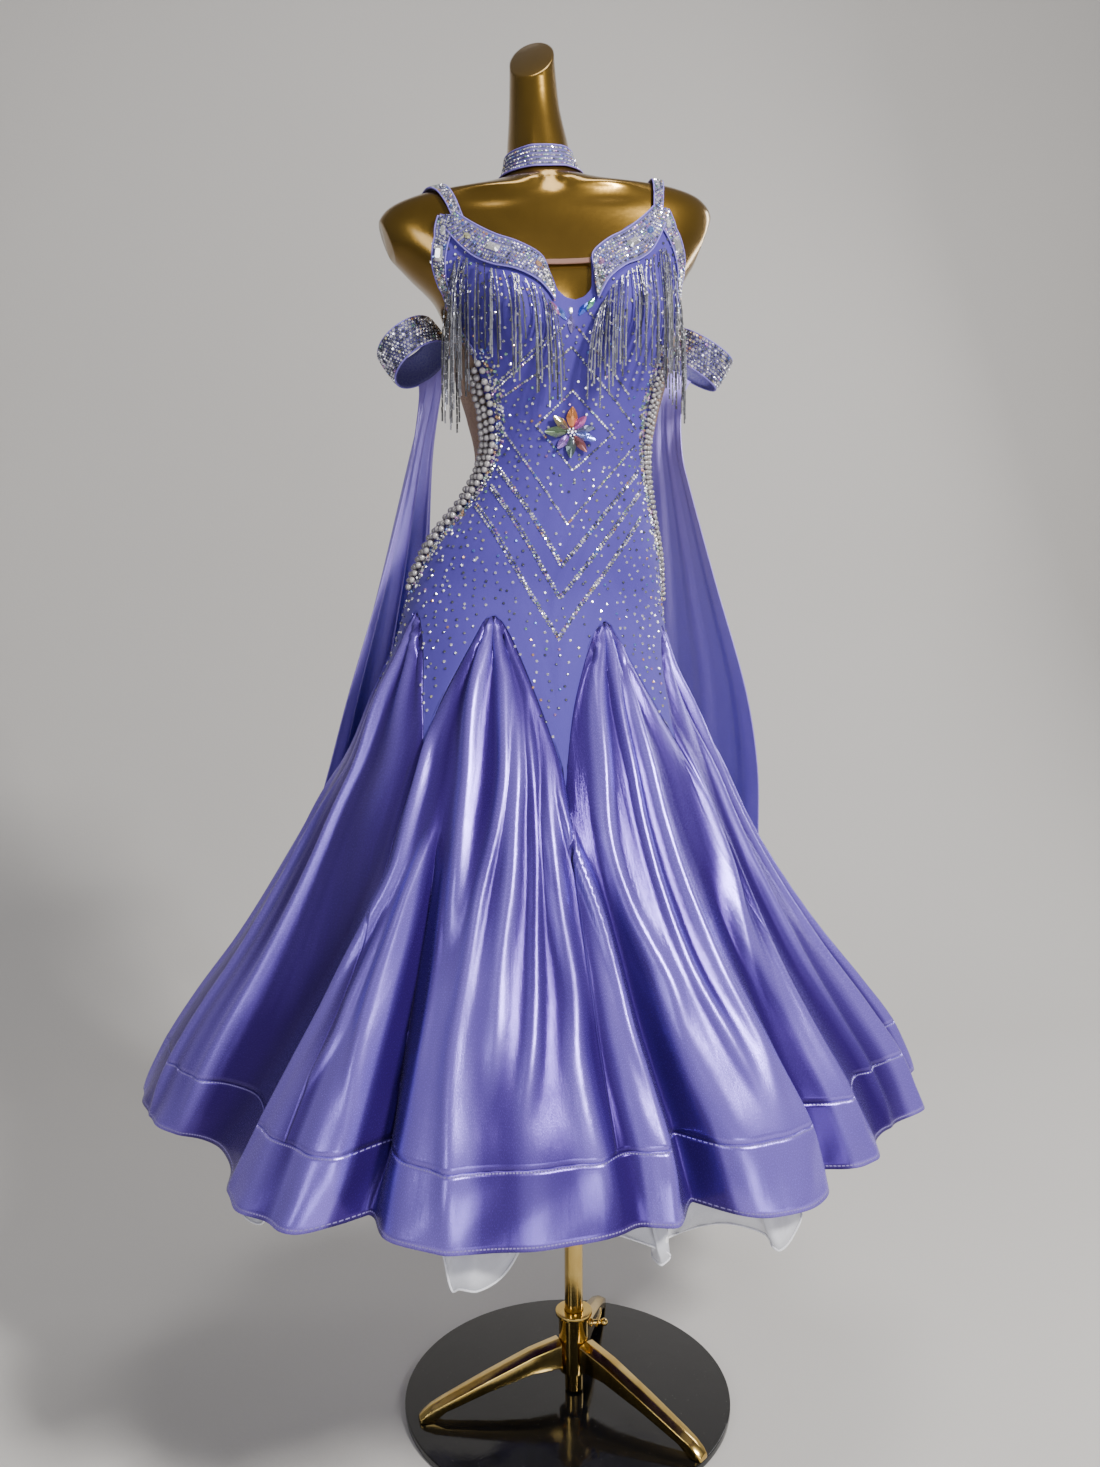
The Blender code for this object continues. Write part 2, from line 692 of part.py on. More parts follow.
def make_form(dressed, gold):
    """The limbless torso: rings up the figure, its neck and arm ends cut flat."""
    heights = (FORM_BOTTOM, *FORM_RINGS)
    bm = bmesh.new()
    loops = []
    for height in heights:
        inset = HIP_CLEARANCE if height < WAIST else 0.0
        turns = [360.0 * i / FORM_AROUND for i in range(FORM_AROUND)]
        ring = [bm.verts.new(lifted(form_point, turn, height, -inset)) for turn in turns]
        if height == FORM_BOTTOM:
            for vert in ring:
                vert.co.z = FORM_BOTTOM
        loops.append([bm.edges.new((ring[i - 1], ring[i])) for i in range(FORM_AROUND)])
        if height in (heights[0], heights[-1]):
            bm.faces.new(ring)
    for lower, upper in zip(loops, loops[1:]):
        bmesh.ops.bridge_loops(bm, edges=lower + upper)
    # The neck ends in a slanting cut, and each arm in a flat one that faces out and down.
    cuts = [NECK_CUT]
    for side in (-1, 1):
        point, normal = ARM_CUT
        place = (FIGURE_MIDDLE + side * point[0], point[1], point[2])
        cuts.append((place, (side * normal[0], normal[1], normal[2])))
    for point, normal in cuts:
        upper = [face for face in bm.faces if face.calc_center_median().z > CUT_ABOVE]
        edges = {edge for face in upper for edge in face.edges}
        verts = {vert for face in upper for vert in face.verts}
        cut = bmesh.ops.bisect_plane(
            bm,
            geom=[*verts, *edges, *upper],
            dist=1e-6,
            plane_co=point,
            plane_no=normal,
            clear_outer=True,
        )
        rim = [item for item in cut["geom_cut"] if isinstance(item, bmesh.types.BMEdge)]
        bmesh.ops.contextual_create(bm, geom=rim)
    bmesh.ops.triangulate(bm, faces=[face for face in bm.faces if len(face.verts) > 4])
    bmesh.ops.recalc_face_normals(bm, faces=bm.faces)
    keep("form_torso", bm, gold, dressed)


def row_height(top, bottom, row, rows):
    """The height of one of a crepe panel's rows, which lie closer together at the bust."""
    return top + (bottom - top) * (row / rows) ** 1.25


def side_rows(neckline, rows):
    """The heights of a panel's points along its side edge, from the top."""
    bottom = seam_height(SIDE_SEAM) + seam_gap(SIDE_SEAM)
    return [row_height(neckline[-1][1], bottom, row, rows) for row in range(rows + 1)]


def edge_angle(edge, heights, height):
    """A panel's straight-sided edge: its angle between two of the panel's own points."""
    knots = sorted((row, read(edge, row)) for row in heights)
    return read(knots, height)


def make_crepe(dressed, crepe, sheer):
    """The stretch crepe body: front and back panels that end in points between the godets,
    and the sheer mesh in the cut-outs beside the waist."""

    def panel(neckline, edge, middle, rows, bunched):
        def place(share, down, out):
            across = 2.0 * share - 1.0
            top_share = math.copysign(read(KEYHOLE_COLUMNS, abs(across)), across) if bunched else across
            deep = row_height(0.0, 1.0, down, 1.0)
            part = across + (top_share - across) * (1.0 - deep) ** 2
            bottom_angle = middle + across * SIDE_SEAM
            top = read(neckline, abs(part if down else top_share))
            bottom = seam_height(bottom_angle) + seam_gap(bottom_angle)
            height = top + (bottom - top) * deep
            angle = middle + part * read(edge, height)
            half_gap = edge_of(across) * 0.75 * GAP
            return beside(angle, -half_gap, on_dress(angle, height, CREPE_LIFT + CLOTH * out))

        return place

    front = panel(NECKLINE, FRONT_EDGE, 0.0, FRONT_ROWS, True)
    back = panel(BACK_NECKLINE, BACK_EDGE, 180.0, BACK_ROWS, False)
    wall("bodice_front", CREPE_COLUMNS, FRONT_ROWS, front, crepe, dressed)
    wall("bodice_back", CREPE_COLUMNS, BACK_ROWS, back, crepe, dressed)
    front_rows = side_rows(NECKLINE, FRONT_ROWS)
    back_rows = side_rows(BACK_NECKLINE, BACK_ROWS)
    heights = [MESH_TOP, *(row for row in front_rows if MESH_BOTTOM < row < MESH_TOP)]
    for side, name in ((-1, "left"), (1, "right")):

        def place(share, down, out, side=side):
            height = heights[round(down * (len(heights) - 1))]
            tilt = max(0.0, (height - MESH_LEVEL) / (MESH_TOP - MESH_LEVEL))
            height -= (MESH_TOP - MESH_BACK_TOP) * share * tilt
            spare = math.degrees(MESH_SEAM / SIDE_RADIUS)
            front = edge_angle(FRONT_EDGE, front_rows, height) + spare
            back = 180.0 - edge_angle(BACK_EDGE, back_rows, height) - spare
            angle = side * (front + (back - front) * share)
            return on_dress(angle, height, CREPE_LIFT + CLOTH * out)

        wall(f"side_mesh_{name}", 4, len(heights) - 1, place, sheer, dressed)


def make_godets(dressed, satin):
    """The satin godets let in between the crepe's points, and the stiffened band at the hem."""
    names = {}
    for number in range(GODETS):
        middle = -180.0 + GODET_SPREAD * (number + 0.5)
        side = "left" if middle < 0 else "right"
        place_name = {22.5: "front", 67.5: "side_front", 112.5: "side_back", 157.5: "back"}[abs(middle)]
        names[middle] = f"godet_{place_name}_{side}"
    for middle, name in names.items():

        def place(share, down, out, middle=middle):
            across = 2.0 * share - 1.0
            angle = middle + across * GODET_SPREAD / 2.0
            top = seam_height(angle) - seam_gap(angle)
            height = top + (BAND_TOP + 2.0 * GAP - top) * down**0.9
            half_gap = edge_of(across) * GAP / 2.0
            return beside(angle, -half_gap, on_dress(angle, height, CREPE_LIFT + CLOTH * out))

        wall(name, GODET_COLUMNS, GODET_ROWS, place, satin, dressed)

    def hem(share, down, out):
        height = BAND_TOP + (HEM - BAND_TOP) * down
        return on_dress(-180.0 + 360.0 * share, height, CREPE_LIFT + CLOTH * out)

    wall("hem_band", GODETS * GODET_COLUMNS, 2, hem, satin, dressed, ring=True)


def make_petticoat(dressed, organza):
    """One flounce of stiff organza under the satin, whose waves dip below its hem."""

    def place(share, down, out):
        angle = -180.0 + 360.0 * share
        low = PETTICOAT_HEM
        for middle, width, drop in DIPS:
            low -= drop * math.exp(-(((angle - middle) / width) ** 2))
        fallen, inset = PETTICOAT_ROWS[round(down * (len(PETTICOAT_ROWS) - 1))]
        height = PETTICOAT_TOP + (low - PETTICOAT_TOP) * fallen
        wave = PETTICOAT_WAVE * math.sin(math.radians(angle) * PETTICOAT_WAVES) * fallen
        return on_dress(angle, height, wave - inset + ORGANZA * out)

    rows = len(PETTICOAT_ROWS) - 1
    wall("petticoat", GODETS * GODET_COLUMNS, rows, place, organza, dressed, ring=True)


def make_trims(dressed, lapel_cloth, nude, pearl):
    """Stoned lapels, armhole bands, straps, the elastic across the keyhole and the pearl edges."""
    front_rows = side_rows(NECKLINE, FRONT_ROWS)
    for side, name in ((-1, "left"), (1, "right")):
        rows = [(index / (len(LAPEL) - 1.0), *row) for index, row in enumerate(LAPEL)]

        def lapel(share, down, out, side=side, rows=rows):
            upper_angle, upper_height, lower_angle, lower_height = read(rows, share, fields=4)
            angle = upper_angle + (lower_angle - upper_angle) * down
            height = upper_height + (lower_height - upper_height) * down
            return on_dress(side * angle, height, TRIM_LIFT + TRIM * out)

        wall(f"lapel_{name}", LAPEL_COLUMNS, 2, lapel, lapel_cloth, dressed)

        def armhole(share, down, out, side=side):
            height = ARMHOLE_TOP + (ARMHOLE_BOTTOM - ARMHOLE_TOP) * down
            wide = math.degrees(ARMHOLE_WIDTH / SIDE_RADIUS)
            angle = read(FRONT_EDGE, height) - EDGE_MARGIN - wide * (1.0 - share)
            return on_dress(side * angle, height, TRIM_LIFT + TRIM * out)

        wall(f"armhole_band_{name}", 2, 8, armhole, lapel_cloth, dressed)

        first_turn = turn_at(side, STRAP_FRONT_END, -60.0)
        last_turn = turn_at(side, STRAP_BACK_END, 140.0)

        def strap(share, down, out, side=side, first_turn=first_turn, last_turn=last_turn):
            turn = first_turn + (last_turn - first_turn) * down
            x = FIGURE_MIDDLE + side * read(STRAP, turn) + STRAP_WIDTH * (share - 0.5)
            lapped = max(0.0, 1.0 - down / 0.14, 1.0 - (1.0 - down) / 0.14)
            lift = STRAP_LIFT + (TRIM_LIFT + 0.0004 - STRAP_LIFT) * lapped
            return over_shoulder(x, turn, lift + CLOTH * out)

        wall(f"strap_{name}", 2, 14, strap, lapel_cloth, dressed)

        def pearls(share, down, out, side=side):
            height = PEARL_TOP + (PEARL_BOTTOM - PEARL_TOP) * down
            row = max(k for k in range(FRONT_ROWS) if front_rows[k] >= height)
            ends = front_rows[row], front_rows[row + 1]
            part = (height - ends[0]) / (ends[1] - ends[0])
            wide = math.degrees(PEARL_WIDTH / SIDE_RADIUS)
            lift = PEARL_LIFT + TRIM * min(out, 1.0) + PEARL_RISE * max(out - 1.0, 0.0)
            found = []
            for end in ends:
                angle = side * (read(FRONT_EDGE, end) + wide * (share - PEARL_INSIDE))
                found.append(on_dress(angle, end, lift))
            return found[0].lerp(found[1], part)

        def beads(bm):
            outer = [face for face in bm.faces if face.calc_center_median().z > 0.999]
            poked = bmesh.ops.poke(bm, faces=outer)
            bmesh.ops.translate(bm, verts=poked["verts"], vec=(0.0, 0.0, 1.0))

        down = round((PEARL_TOP - PEARL_BOTTOM) / PEARL_SIZE)
        wall(f"pearl_edge_{name}", PEARL_ACROSS, down, pearls, pearl, dressed, dress=beads)

    def bridge(share, down, out):
        angle = ELASTIC_HALF_SPAN * (2.0 * share - 1.0)
        return on_dress(angle, ELASTIC_TOP - ELASTIC_WIDTH * down, CREPE_LIFT + ELASTIC * out)

    wall("keyhole_elastic", 4, 1, bridge, nude, dressed)


def over_shoulder(x, turn, lift):
    """The form's surface where a ray leaves the shoulder's inside: -90 forwards, 0 up, 90 back."""
    ray = Vector((0.0, math.sin(math.radians(turn)), math.cos(math.radians(turn))))
    start = Vector((x, STRAP_HUB_Y, STRAP_HUB_Z))
    low, high = 0.0, 0.2
    for _ in range(24):
        reach = (low + high) / 2.0
        if outside_form(start + ray * reach):
            high = reach
        else:
            low = reach
    return start + ray * (high + lift)


def turn_at(side, height, toward):
    """The turn at which a strap comes down to a height of the unsloped figure."""
    near, far = 0.0, toward
    for _ in range(24):
        turn = (near + far) / 2.0
        x = FIGURE_MIDDLE + side * read(STRAP, turn)
        reached = over_shoulder(x, turn, 0.0).z
        if reached > height + read(SLOPES, height) * (x - FIGURE_MIDDLE):
            near = turn
        else:
            far = turn
    return near


def outside_form(point):
    height = point.z
    for _ in range(3):
        middle_x, middle_y, half_width, front, back, squareness = smooth_read(FORM_RISING, height)
        height = point.z - read(SLOPES, height) * (point.x - middle_x)
    x = (point.x - middle_x) / half_width
    depth = front if point.y < middle_y else back
    return abs(x) ** squareness + abs((point.y - middle_y) / depth) ** squareness > 1.0


def front_of_dress(x, height, lift):
    """Y of the dress's front at this X, or None beside it."""
    middle_x, middle_y, half_width, front, _, squareness = smooth_read(DRESS_RISING, height)
    away = abs(x - middle_x) / (half_width + lift)
    if away > 0.985:
        return None
    y = (front + lift) * (1.0 - away**squareness) ** (1.0 / squareness)
    return middle_y - y - bust_reach(x - middle_x, height, BUST["depth"])


def make_fringes(dressed, silver):
    """Bugle-bead strands: a narrow strip beside the lapel and armhole band, whose lower
    faces are drawn out into four-sided strands that hang plumb over the bust."""
    path = [(index / (len(FRINGE) - 1.0), *row) for index, row in enumerate(FRINGE)]
    cells = 2 * STRANDS - 1
    for side, name in ((-1, "left"), (1, "right")):
        bm = bmesh.new()
        rings = []
        for index in range(cells + 1):
            angle, height, _ = read(path, index / cells, fields=3)
            ring = []
            corners = ((0.0, 0.0), (FRINGE_STRIP, 0.0), (FRINGE_STRIP, STRAND_DEPTH), (0.0, STRAND_DEPTH))
            for drop, lift in corners:
                point = on_dress(side * angle, height, FRINGE_LIFT + lift)
                ring.append(bm.verts.new(point - Vector((0.0, 0.0, drop))))
            rings.append(ring)
        undersides = []
        for first, second in zip(rings, rings[1:]):
            for corner in range(4):
                following = (corner + 1) % 4
                face = bm.faces.new((first[corner], first[following], second[following], second[corner]))
                if corner == 1:
                    undersides.append(face)
        bm.faces.new(rings[0])
        bm.faces.new(rings[-1])
        bmesh.ops.recalc_face_normals(bm, faces=bm.faces)
        for number, root in enumerate(undersides[::2]):
            length = read(path, number / (STRANDS - 1.0), fields=3)[2]
            length *= 1.0 + 0.13 * math.sin(number * 2.4) + 0.05 * math.sin(number * 5.1)
            hang_strand(bm, root, length)
        bmesh.ops.recalc_face_normals(bm, faces=bm.faces)
        keep(f"fringe_{name}", bm, silver, dressed)


def hang_strand(bm, root, length):
    """Draws one face of the strip down in two lengths that stay clear of the bust."""
    steps = (0.35, 0.65)
    middle = root.calc_center_median()
    clear = FRINGE_LIFT + 0.0012
    front = middle.y
    reached = middle.z
    for step in steps:
        grown = bmesh.ops.extrude_discrete_faces(bm, faces=[root])["faces"][0]
        target = middle.z - length * (step if step == steps[0] else 1.0)
        probe = reached
        while probe > target:
            slope = read(SLOPES, probe) * (middle.x - FIGURE_MIDDLE)
            here = front_of_dress(middle.x, probe - slope, clear)
            if here is not None:
                front = min(front, here)
            probe -= 0.004
        reached = target
        centre = Vector((middle.x, front, target))
        now = grown.calc_center_median()
        for vert in grown.verts:
            offset = vert.co - now
            offset.z = 0.0
            if offset.length > STRAND_WIDTH:
                offset *= STRAND_WIDTH / offset.length
            vert.co = centre + offset
        root = grown


def make_choker(dressed, cloth):
    def place(share, down, out):
        angle = 360.0 * share
        height = CHOKER_TOP - CHOKER_TALL * down
        return lifted(form_point, angle, height, CHOKER_LIFT + TRIM * out)

    wall("choker", FORM_AROUND, 2, place, cloth, dressed, ring=True)


def band_frame(side, name):
    """Middle and axes of an armband, moved in until it just clears the dress's side."""
    axis = Vector(BAND_AXES[name]).normalized()
    back = Vector((0.0, 1.0, 0.0))
    back = (back - axis * back.dot(axis)).normalized()
    outward = axis.cross(back) * side
    middle = Vector((FIGURE_MIDDLE + side * 0.25, BAND_BACK, BAND_HEIGHT))
    nearest = 1.0
    for step in range(72):
        turn = math.radians(5.0 * step)
        spoke = back * math.cos(turn) + outward * math.sin(turn)
        for along in (-0.5, 0.0, 0.5):
            point = middle + spoke * (BAND_RADIUS + TRIM) + axis * BAND_TALL * along
            height = point.z - read(SLOPES, point.z) * (point.x - FIGURE_MIDDLE)
            middle_x, middle_y, half_width, front, rear, squareness = smooth_read(DRESS_RISING, height)
            deep = (front if point.y < middle_y else rear) + PANEL_LIFT
            away = min(abs(point.y - middle_y) / deep, 1.0)
            edge = (half_width + PANEL_LIFT) * (1.0 - away**squareness) ** (1.0 / squareness)
            nearest = min(nearest, side * (point.x - middle_x) - edge)
    middle.x -= side * (nearest - GAP + BAND_SEATS[name])
    return middle, axis, back, outward


def make_armbands(dressed, cloth, satin):
    """The stoned loops for the upper arms, and the satin drape that hangs from each."""
    rows = tuple(reversed(DRAPE))
    for side, name in ((-1, "left"), (1, "right")):
        middle, axis, back, outward = band_frame(side, name)

        def rim(turn, along, out, frame=(middle, axis, back, outward)):
            centre, line, behind, beside = frame
            spoke = behind * math.cos(turn) + beside * math.sin(turn)
            return centre + spoke * (BAND_RADIUS + TRIM * out) + line * along

        def band(share, down, out, rim=rim):
            return rim(math.tau * share, BAND_TALL * (down - 0.5), out)

        wall(f"armband_{name}", 20, 2, band, cloth, dressed, ring=True)

        def drape(share, down, out, side=side, rim=rim):
            bottom = rows[0][0]
            turn = math.radians(DRAPE_OUTER_TURN + (DRAPE_INNER_TURN - DRAPE_OUTER_TURN) * share)
            gathered = rim(turn, BAND_TALL / 2.0 + GAP, out)
            height = gathered.z + (bottom - gathered.z) * down
            middle_x, outer_x, outer_y, inner_x, inner_y, pleat = smooth_read(rows, height)
            line = Vector((inner_x - outer_x, inner_y - outer_y, 0.0))
            square = Vector((-line.y, line.x, 0.0)).normalized()
            wave = math.sin(math.tau * DRAPE_PLEATS * share + 0.6)
            belly = DRAPE_BELLY * math.sin(math.pi * share) * line.length
            flat = Vector((outer_x, outer_y, 0.0)) + line * share
            flat += square * (pleat * wave - belly + CLOTH * (1.0 - out))
            hung = Vector((middle_x + side * flat.x, flat.y, height))
            return gathered.lerp(hung, rise(down / 0.14))

        wall(f"float_{name}", DRAPE_COLUMNS, DRAPE_ROWS, drape, satin, dressed)


def make_brooch(dressed, crystal):
    """The stone flower at the waist: eight pointed petals round a raised middle."""
    middle = on_dress(*BROOCH_PLACE, BROOCH_LIFT)
    out = (on_dress(*BROOCH_PLACE, BROOCH_LIFT + 0.01) - middle).normalized()
    side = out.cross(Vector((0.0, 0.0, 1.0))).normalized()
    up = side.cross(out)
    bm = bmesh.new()
    rim = []
    for index in range(2 * BROOCH_PETALS):
        turn = math.pi * index / BROOCH_PETALS
        reach = BROOCH_REACH if index % 2 == 0 else BROOCH_NOTCH
        rim.append(bm.verts.new(middle + (side * math.sin(turn) + up * math.cos(turn)) * reach))
    plate = bm.faces.new(rim)
    grown = bmesh.ops.extrude_face_region(bm, geom=[plate], use_keep_orig=True)["geom"]
    top = [item for item in grown if isinstance(item, bmesh.types.BMFace)]
    lifted_verts = [item for item in grown if isinstance(item, bmesh.types.BMVert)]
    bmesh.ops.translate(bm, verts=lifted_verts, vec=out * BROOCH_EDGE)
    poked = bmesh.ops.poke(bm, faces=top)
    bmesh.ops.translate(bm, verts=poked["verts"], vec=out * BROOCH_RISE)
    bmesh.ops.triangulate(bm, faces=[face for face in bm.faces if len(face.verts) > 4])
    bmesh.ops.recalc_face_normals(bm, faces=bm.faces)
    keep("flower_brooch", bm, crystal, dressed, smooth=False)


def main():
    clear_scene()
    gold = finish("gold_paint", (0.42, 0.27, 0.06), 0.34, 0.75)
    brass = finish("polished_brass", (0.74, 0.55, 0.22), 0.18, 1.0)
    black = finish("gloss_black", (0.006, 0.006, 0.007), 0.12)
    crepe = finish("lilac_crepe", (0.27, 0.20, 0.64), 0.75)
    satin = finish("lilac_satin", (0.33, 0.25, 0.72), 0.28)
    sheer = finish("nude_mesh", (0.55, 0.47, 0.42), 0.7)
    organza = finish("white_organza", (0.85, 0.85, 0.90), 0.4)
    stoned = finish("stoned_crepe", (0.55, 0.52, 0.78), 0.3)
    nude = finish("nude_elastic", (0.50, 0.28, 0.22), 0.6)
    pearl = finish("pearl", (0.72, 0.68, 0.66), 0.25)
    silver = finish("silver_bugles", (0.70, 0.70, 0.78), 0.2, 0.7)
    crystal = finish("crystal", (0.75, 0.70, 0.72), 0.05)
    # The pole slides in the stand, the dressed form turns on the pole, and the clamp screw turns.
    empties = [bpy.data.objects.new(name, None) for name in ("stand", "raised", "dressed_form", "clamp")]
    stand, raised, dressed, clamp = empties
    for empty in empties:
        bpy.context.scene.collection.objects.link(empty)
    raised.parent = stand
    dressed.parent = raised
    clamp.parent = stand
    make_stand(stand, raised, clamp, brass, black)
    make_form(dressed, gold)
    make_crepe(dressed, crepe, sheer)
    make_godets(dressed, satin)
    make_petticoat(dressed, organza)
    make_trims(dressed, stoned, nude, pearl)
    make_fringes(dressed, silver)
    make_choker(dressed, stoned)
    make_armbands(dressed, stoned, satin)
    make_brooch(dressed, crystal)


main()
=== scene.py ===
"""Looks of a Latin dance dress on a gold dress form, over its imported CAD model.

Metres, +Z up, the dress faces -Y. Angles on the garment are degrees from its front,
+ towards +X. Every cloth piece follows one figure surface, as in the CAD.
"""

import math

import bmesh
import bpy
import numpy as np
from mathutils import Matrix, Vector


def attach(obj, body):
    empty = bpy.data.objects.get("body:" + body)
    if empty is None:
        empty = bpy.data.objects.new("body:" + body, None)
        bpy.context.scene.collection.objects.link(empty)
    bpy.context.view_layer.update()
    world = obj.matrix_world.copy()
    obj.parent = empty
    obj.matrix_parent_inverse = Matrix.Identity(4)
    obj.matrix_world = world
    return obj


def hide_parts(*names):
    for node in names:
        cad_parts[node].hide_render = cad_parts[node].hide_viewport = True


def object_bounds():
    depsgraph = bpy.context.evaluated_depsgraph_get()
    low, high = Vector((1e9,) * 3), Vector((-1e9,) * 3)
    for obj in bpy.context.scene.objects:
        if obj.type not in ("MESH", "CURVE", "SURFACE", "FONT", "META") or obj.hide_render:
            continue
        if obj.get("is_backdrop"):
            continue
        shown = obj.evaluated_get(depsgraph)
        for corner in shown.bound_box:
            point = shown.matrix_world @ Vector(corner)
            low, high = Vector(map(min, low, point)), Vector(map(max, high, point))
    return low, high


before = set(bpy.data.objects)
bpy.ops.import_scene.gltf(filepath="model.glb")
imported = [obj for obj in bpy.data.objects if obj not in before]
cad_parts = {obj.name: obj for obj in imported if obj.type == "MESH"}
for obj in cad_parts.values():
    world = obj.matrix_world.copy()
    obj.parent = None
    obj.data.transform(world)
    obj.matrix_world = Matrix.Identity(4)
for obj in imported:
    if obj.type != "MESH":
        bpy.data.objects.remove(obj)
CAD_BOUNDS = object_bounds()
chance = np.random.default_rng(7)


# Camera and studio: the photograph's view, a pale sweep for floor and wall, which is clear
# from outside so that the back of the dress can be seen, and soft boxes.
# A small key high on the viewer's right draws the narrow lights along the satin's folds.
CAMERA_PLACE = (-0.2660, -1.5069, 1.04)
CAMERA_TURN = math.radians(-9.0)
CAMERA_TILT = math.radians(84.2)
CAMERA_ROLL = -0.0058
CAMERA_LENS = 30.04
SWEEP_WIDTH = 14.0
SWEEP_FRONT = -6.0
SWEEP_BACK = 2.4
SWEEP_BEND = 1.2
SWEEP_TOP = 5.0
SWEEP_STEPS = 12
SWEEP_COLOUR = (0.62, 0.60, 0.58, 1.0)
SWEEP_SHADE = (0.5828, 0.5640, 0.5452, 1.0)
WORLD_COLOUR = (0.72, 0.74, 0.80, 1.0)
WORLD_STRENGTH = 0.20
# Columns: name, place, aim, size, watts, colour.
SOFT_BOXES = (
    ("key", (1.5, -2.3, 2.9), (0.0, 0.0, 0.9), (0.40, 0.50), 160.0, (1.0, 0.98, 0.94)),
    ("fill", (-2.6, -2.4, 1.9), (0.0, 0.0, 0.9), (0.6, 1.5), 20.0, (0.95, 0.97, 1.0)),
    ("top", (0.2, -0.4, 3.6), (0.0, 0.0, 1.0), (1.4, 0.8), 28.0, (1.0, 0.98, 0.96)),
    ("low", (0.5, -3.2, 0.7), (0.1, 0.1, 0.8), (1.2, 1.2), 24.0, (0.96, 0.97, 1.0)),
    ("rim", (2.4, 1.2, 2.0), (0.0, 0.0, 1.0), (0.5, 1.6), 30.0, (1.0, 1.0, 1.0)),
)


def put(tree, kind, inputs=None, **settings):
    """A shader node with its settings, and its inputs set to values or linked to sockets."""
    made = tree.nodes.new("ShaderNode" + kind)
    for key, value in settings.items():
        setattr(made, key, value)
    for key, value in (inputs or {}).items():
        if isinstance(value, bpy.types.NodeSocket):
            tree.links.new(value, made.inputs[key])
        else:
            made.inputs[key].default_value = value
    return made


def ramp(tree, factor, stops):
    made = put(tree, "ValToRGB", {0: factor})
    elements = made.color_ramp.elements
    while len(elements) < len(stops):
        elements.new(0.5)
    for element, (position, colour) in zip(elements, stops):
        element.position = position
        element.color = (*colour, 1.0)
    return made.outputs[0]


def blend(tree, factor, first, second, mode="MIX"):
    made = put(tree, "Mix", {0: factor, 6: first, 7: second}, data_type="RGBA", blend_type=mode)
    return made.outputs[2]


def sums(tree, operation, *values):
    return put(tree, "Math", dict(enumerate(values)), operation=operation).outputs[0]


def new_material(name, **sockets):
    """A material whose Principled shader has these values, by input name with _ for a space."""
    made = bpy.data.materials.new(name)
    made.use_nodes = True
    shader = made.node_tree.nodes["Principled BSDF"]
    for key, value in sockets.items():
        shader.inputs[key.replace("_", " ")].default_value = value
    return made, made.node_tree, shader


def link(tree, socket, shader, name):
    tree.links.new(socket, shader.inputs[name])


def noise(tree, where, scale, detail=3.0, distortion=0.0):
    inputs = {"Vector": where, "Scale": scale, "Detail": detail, "Distortion": distortion}
    return put(tree, "TexNoise", inputs).outputs["Fac"]


def bumped(tree, shader, height, distance, below=None):
    """A bump by a height in metres, over another one if given."""
    inputs = {"Height": height, "Distance": distance}
    if below:
        inputs["Normal"] = below
    made = put(tree, "Bump", inputs).outputs[0]
    link(tree, made, shader, "Normal")
    return made


def into_scene(name, data):
    made = bpy.data.objects.new(name, data)
    bpy.context.scene.collection.objects.link(made)
    return made


def keep(name, bm, skin):
    """A smooth object from a bmesh."""
    mesh = bpy.data.meshes.new(name)
    bm.to_mesh(mesh)
    bm.free()
    mesh.materials.append(skin)
    mesh.shade_smooth()
    return into_scene(name, mesh)


camera = into_scene("camera", bpy.data.cameras.new("camera"))
camera.data.sensor_fit = "VERTICAL"
camera.data.sensor_height = 36.0
camera.data.lens = CAMERA_LENS
turned_to = Matrix.Rotation(CAMERA_TURN, 4, "Z") @ Matrix.Rotation(CAMERA_TILT, 4, "X")
camera.matrix_world = Matrix.Translation(CAMERA_PLACE) @ turned_to @ Matrix.Rotation(CAMERA_ROLL, 4, "Z")
bpy.context.scene.camera = camera

for name, place, aim, size, watts, colour in SOFT_BOXES:
    lamp = bpy.data.lights.new(name, "AREA")
    lamp.shape = "RECTANGLE"
    lamp.size, lamp.size_y = size
    lamp.energy = watts
    lamp.color = colour
    made = into_scene(name, lamp)
    made.location = place
    made.rotation_euler = (Vector(aim) - Vector(place)).to_track_quat("-Z", "Y").to_euler()
world = bpy.data.worlds.new("studio")
world.use_nodes = True
world.node_tree.nodes["Background"].inputs[0].default_value = WORLD_COLOUR
world.node_tree.nodes["Background"].inputs[1].default_value = WORLD_STRENGTH
bpy.context.scene.world = world

sweep_skin, tree, shader = new_material("studio_sweep", Roughness=0.75)
where = put(tree, "TexCoord").outputs["Object"]
grain = noise(tree, where, 1.3)
link(tree, blend(tree, grain, SWEEP_COLOUR, SWEEP_SHADE), shader, "Base Color")
outside = put(tree, "NewGeometry").outputs["Backfacing"]
link(tree, sums(tree, "SUBTRACT", 1.0, outside), shader, "Alpha")
bumped(tree, shader, noise(tree, where, 160.0), 0.0003)
bm = bmesh.new()
line = [(SWEEP_FRONT, 0.0), (SWEEP_BACK - SWEEP_BEND, 0.0)]
for step in range(1, SWEEP_STEPS + 1):
    turn = math.pi / 2.0 * step / SWEEP_STEPS
    line.append((SWEEP_BACK - SWEEP_BEND + SWEEP_BEND * math.sin(turn), SWEEP_BEND * (1.0 - math.cos(turn))))
line.append((SWEEP_BACK, SWEEP_TOP))
rows = [[bm.verts.new((x, y, z)) for x in (-SWEEP_WIDTH / 2, SWEEP_WIDTH / 2)] for y, z in line]
for low, high in zip(rows, rows[1:]):
    bm.faces.new((low[0], low[1], high[1], high[0]))
keep("sweep", bm, sweep_skin)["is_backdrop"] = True


# The limbless form: a glossy torso moulded in one piece and sprayed bronze gold, with its
# collarbones and throat modelled. Neck and arms end in flat cuts.
CLOTH = 0.0015
TRIM = 0.0014
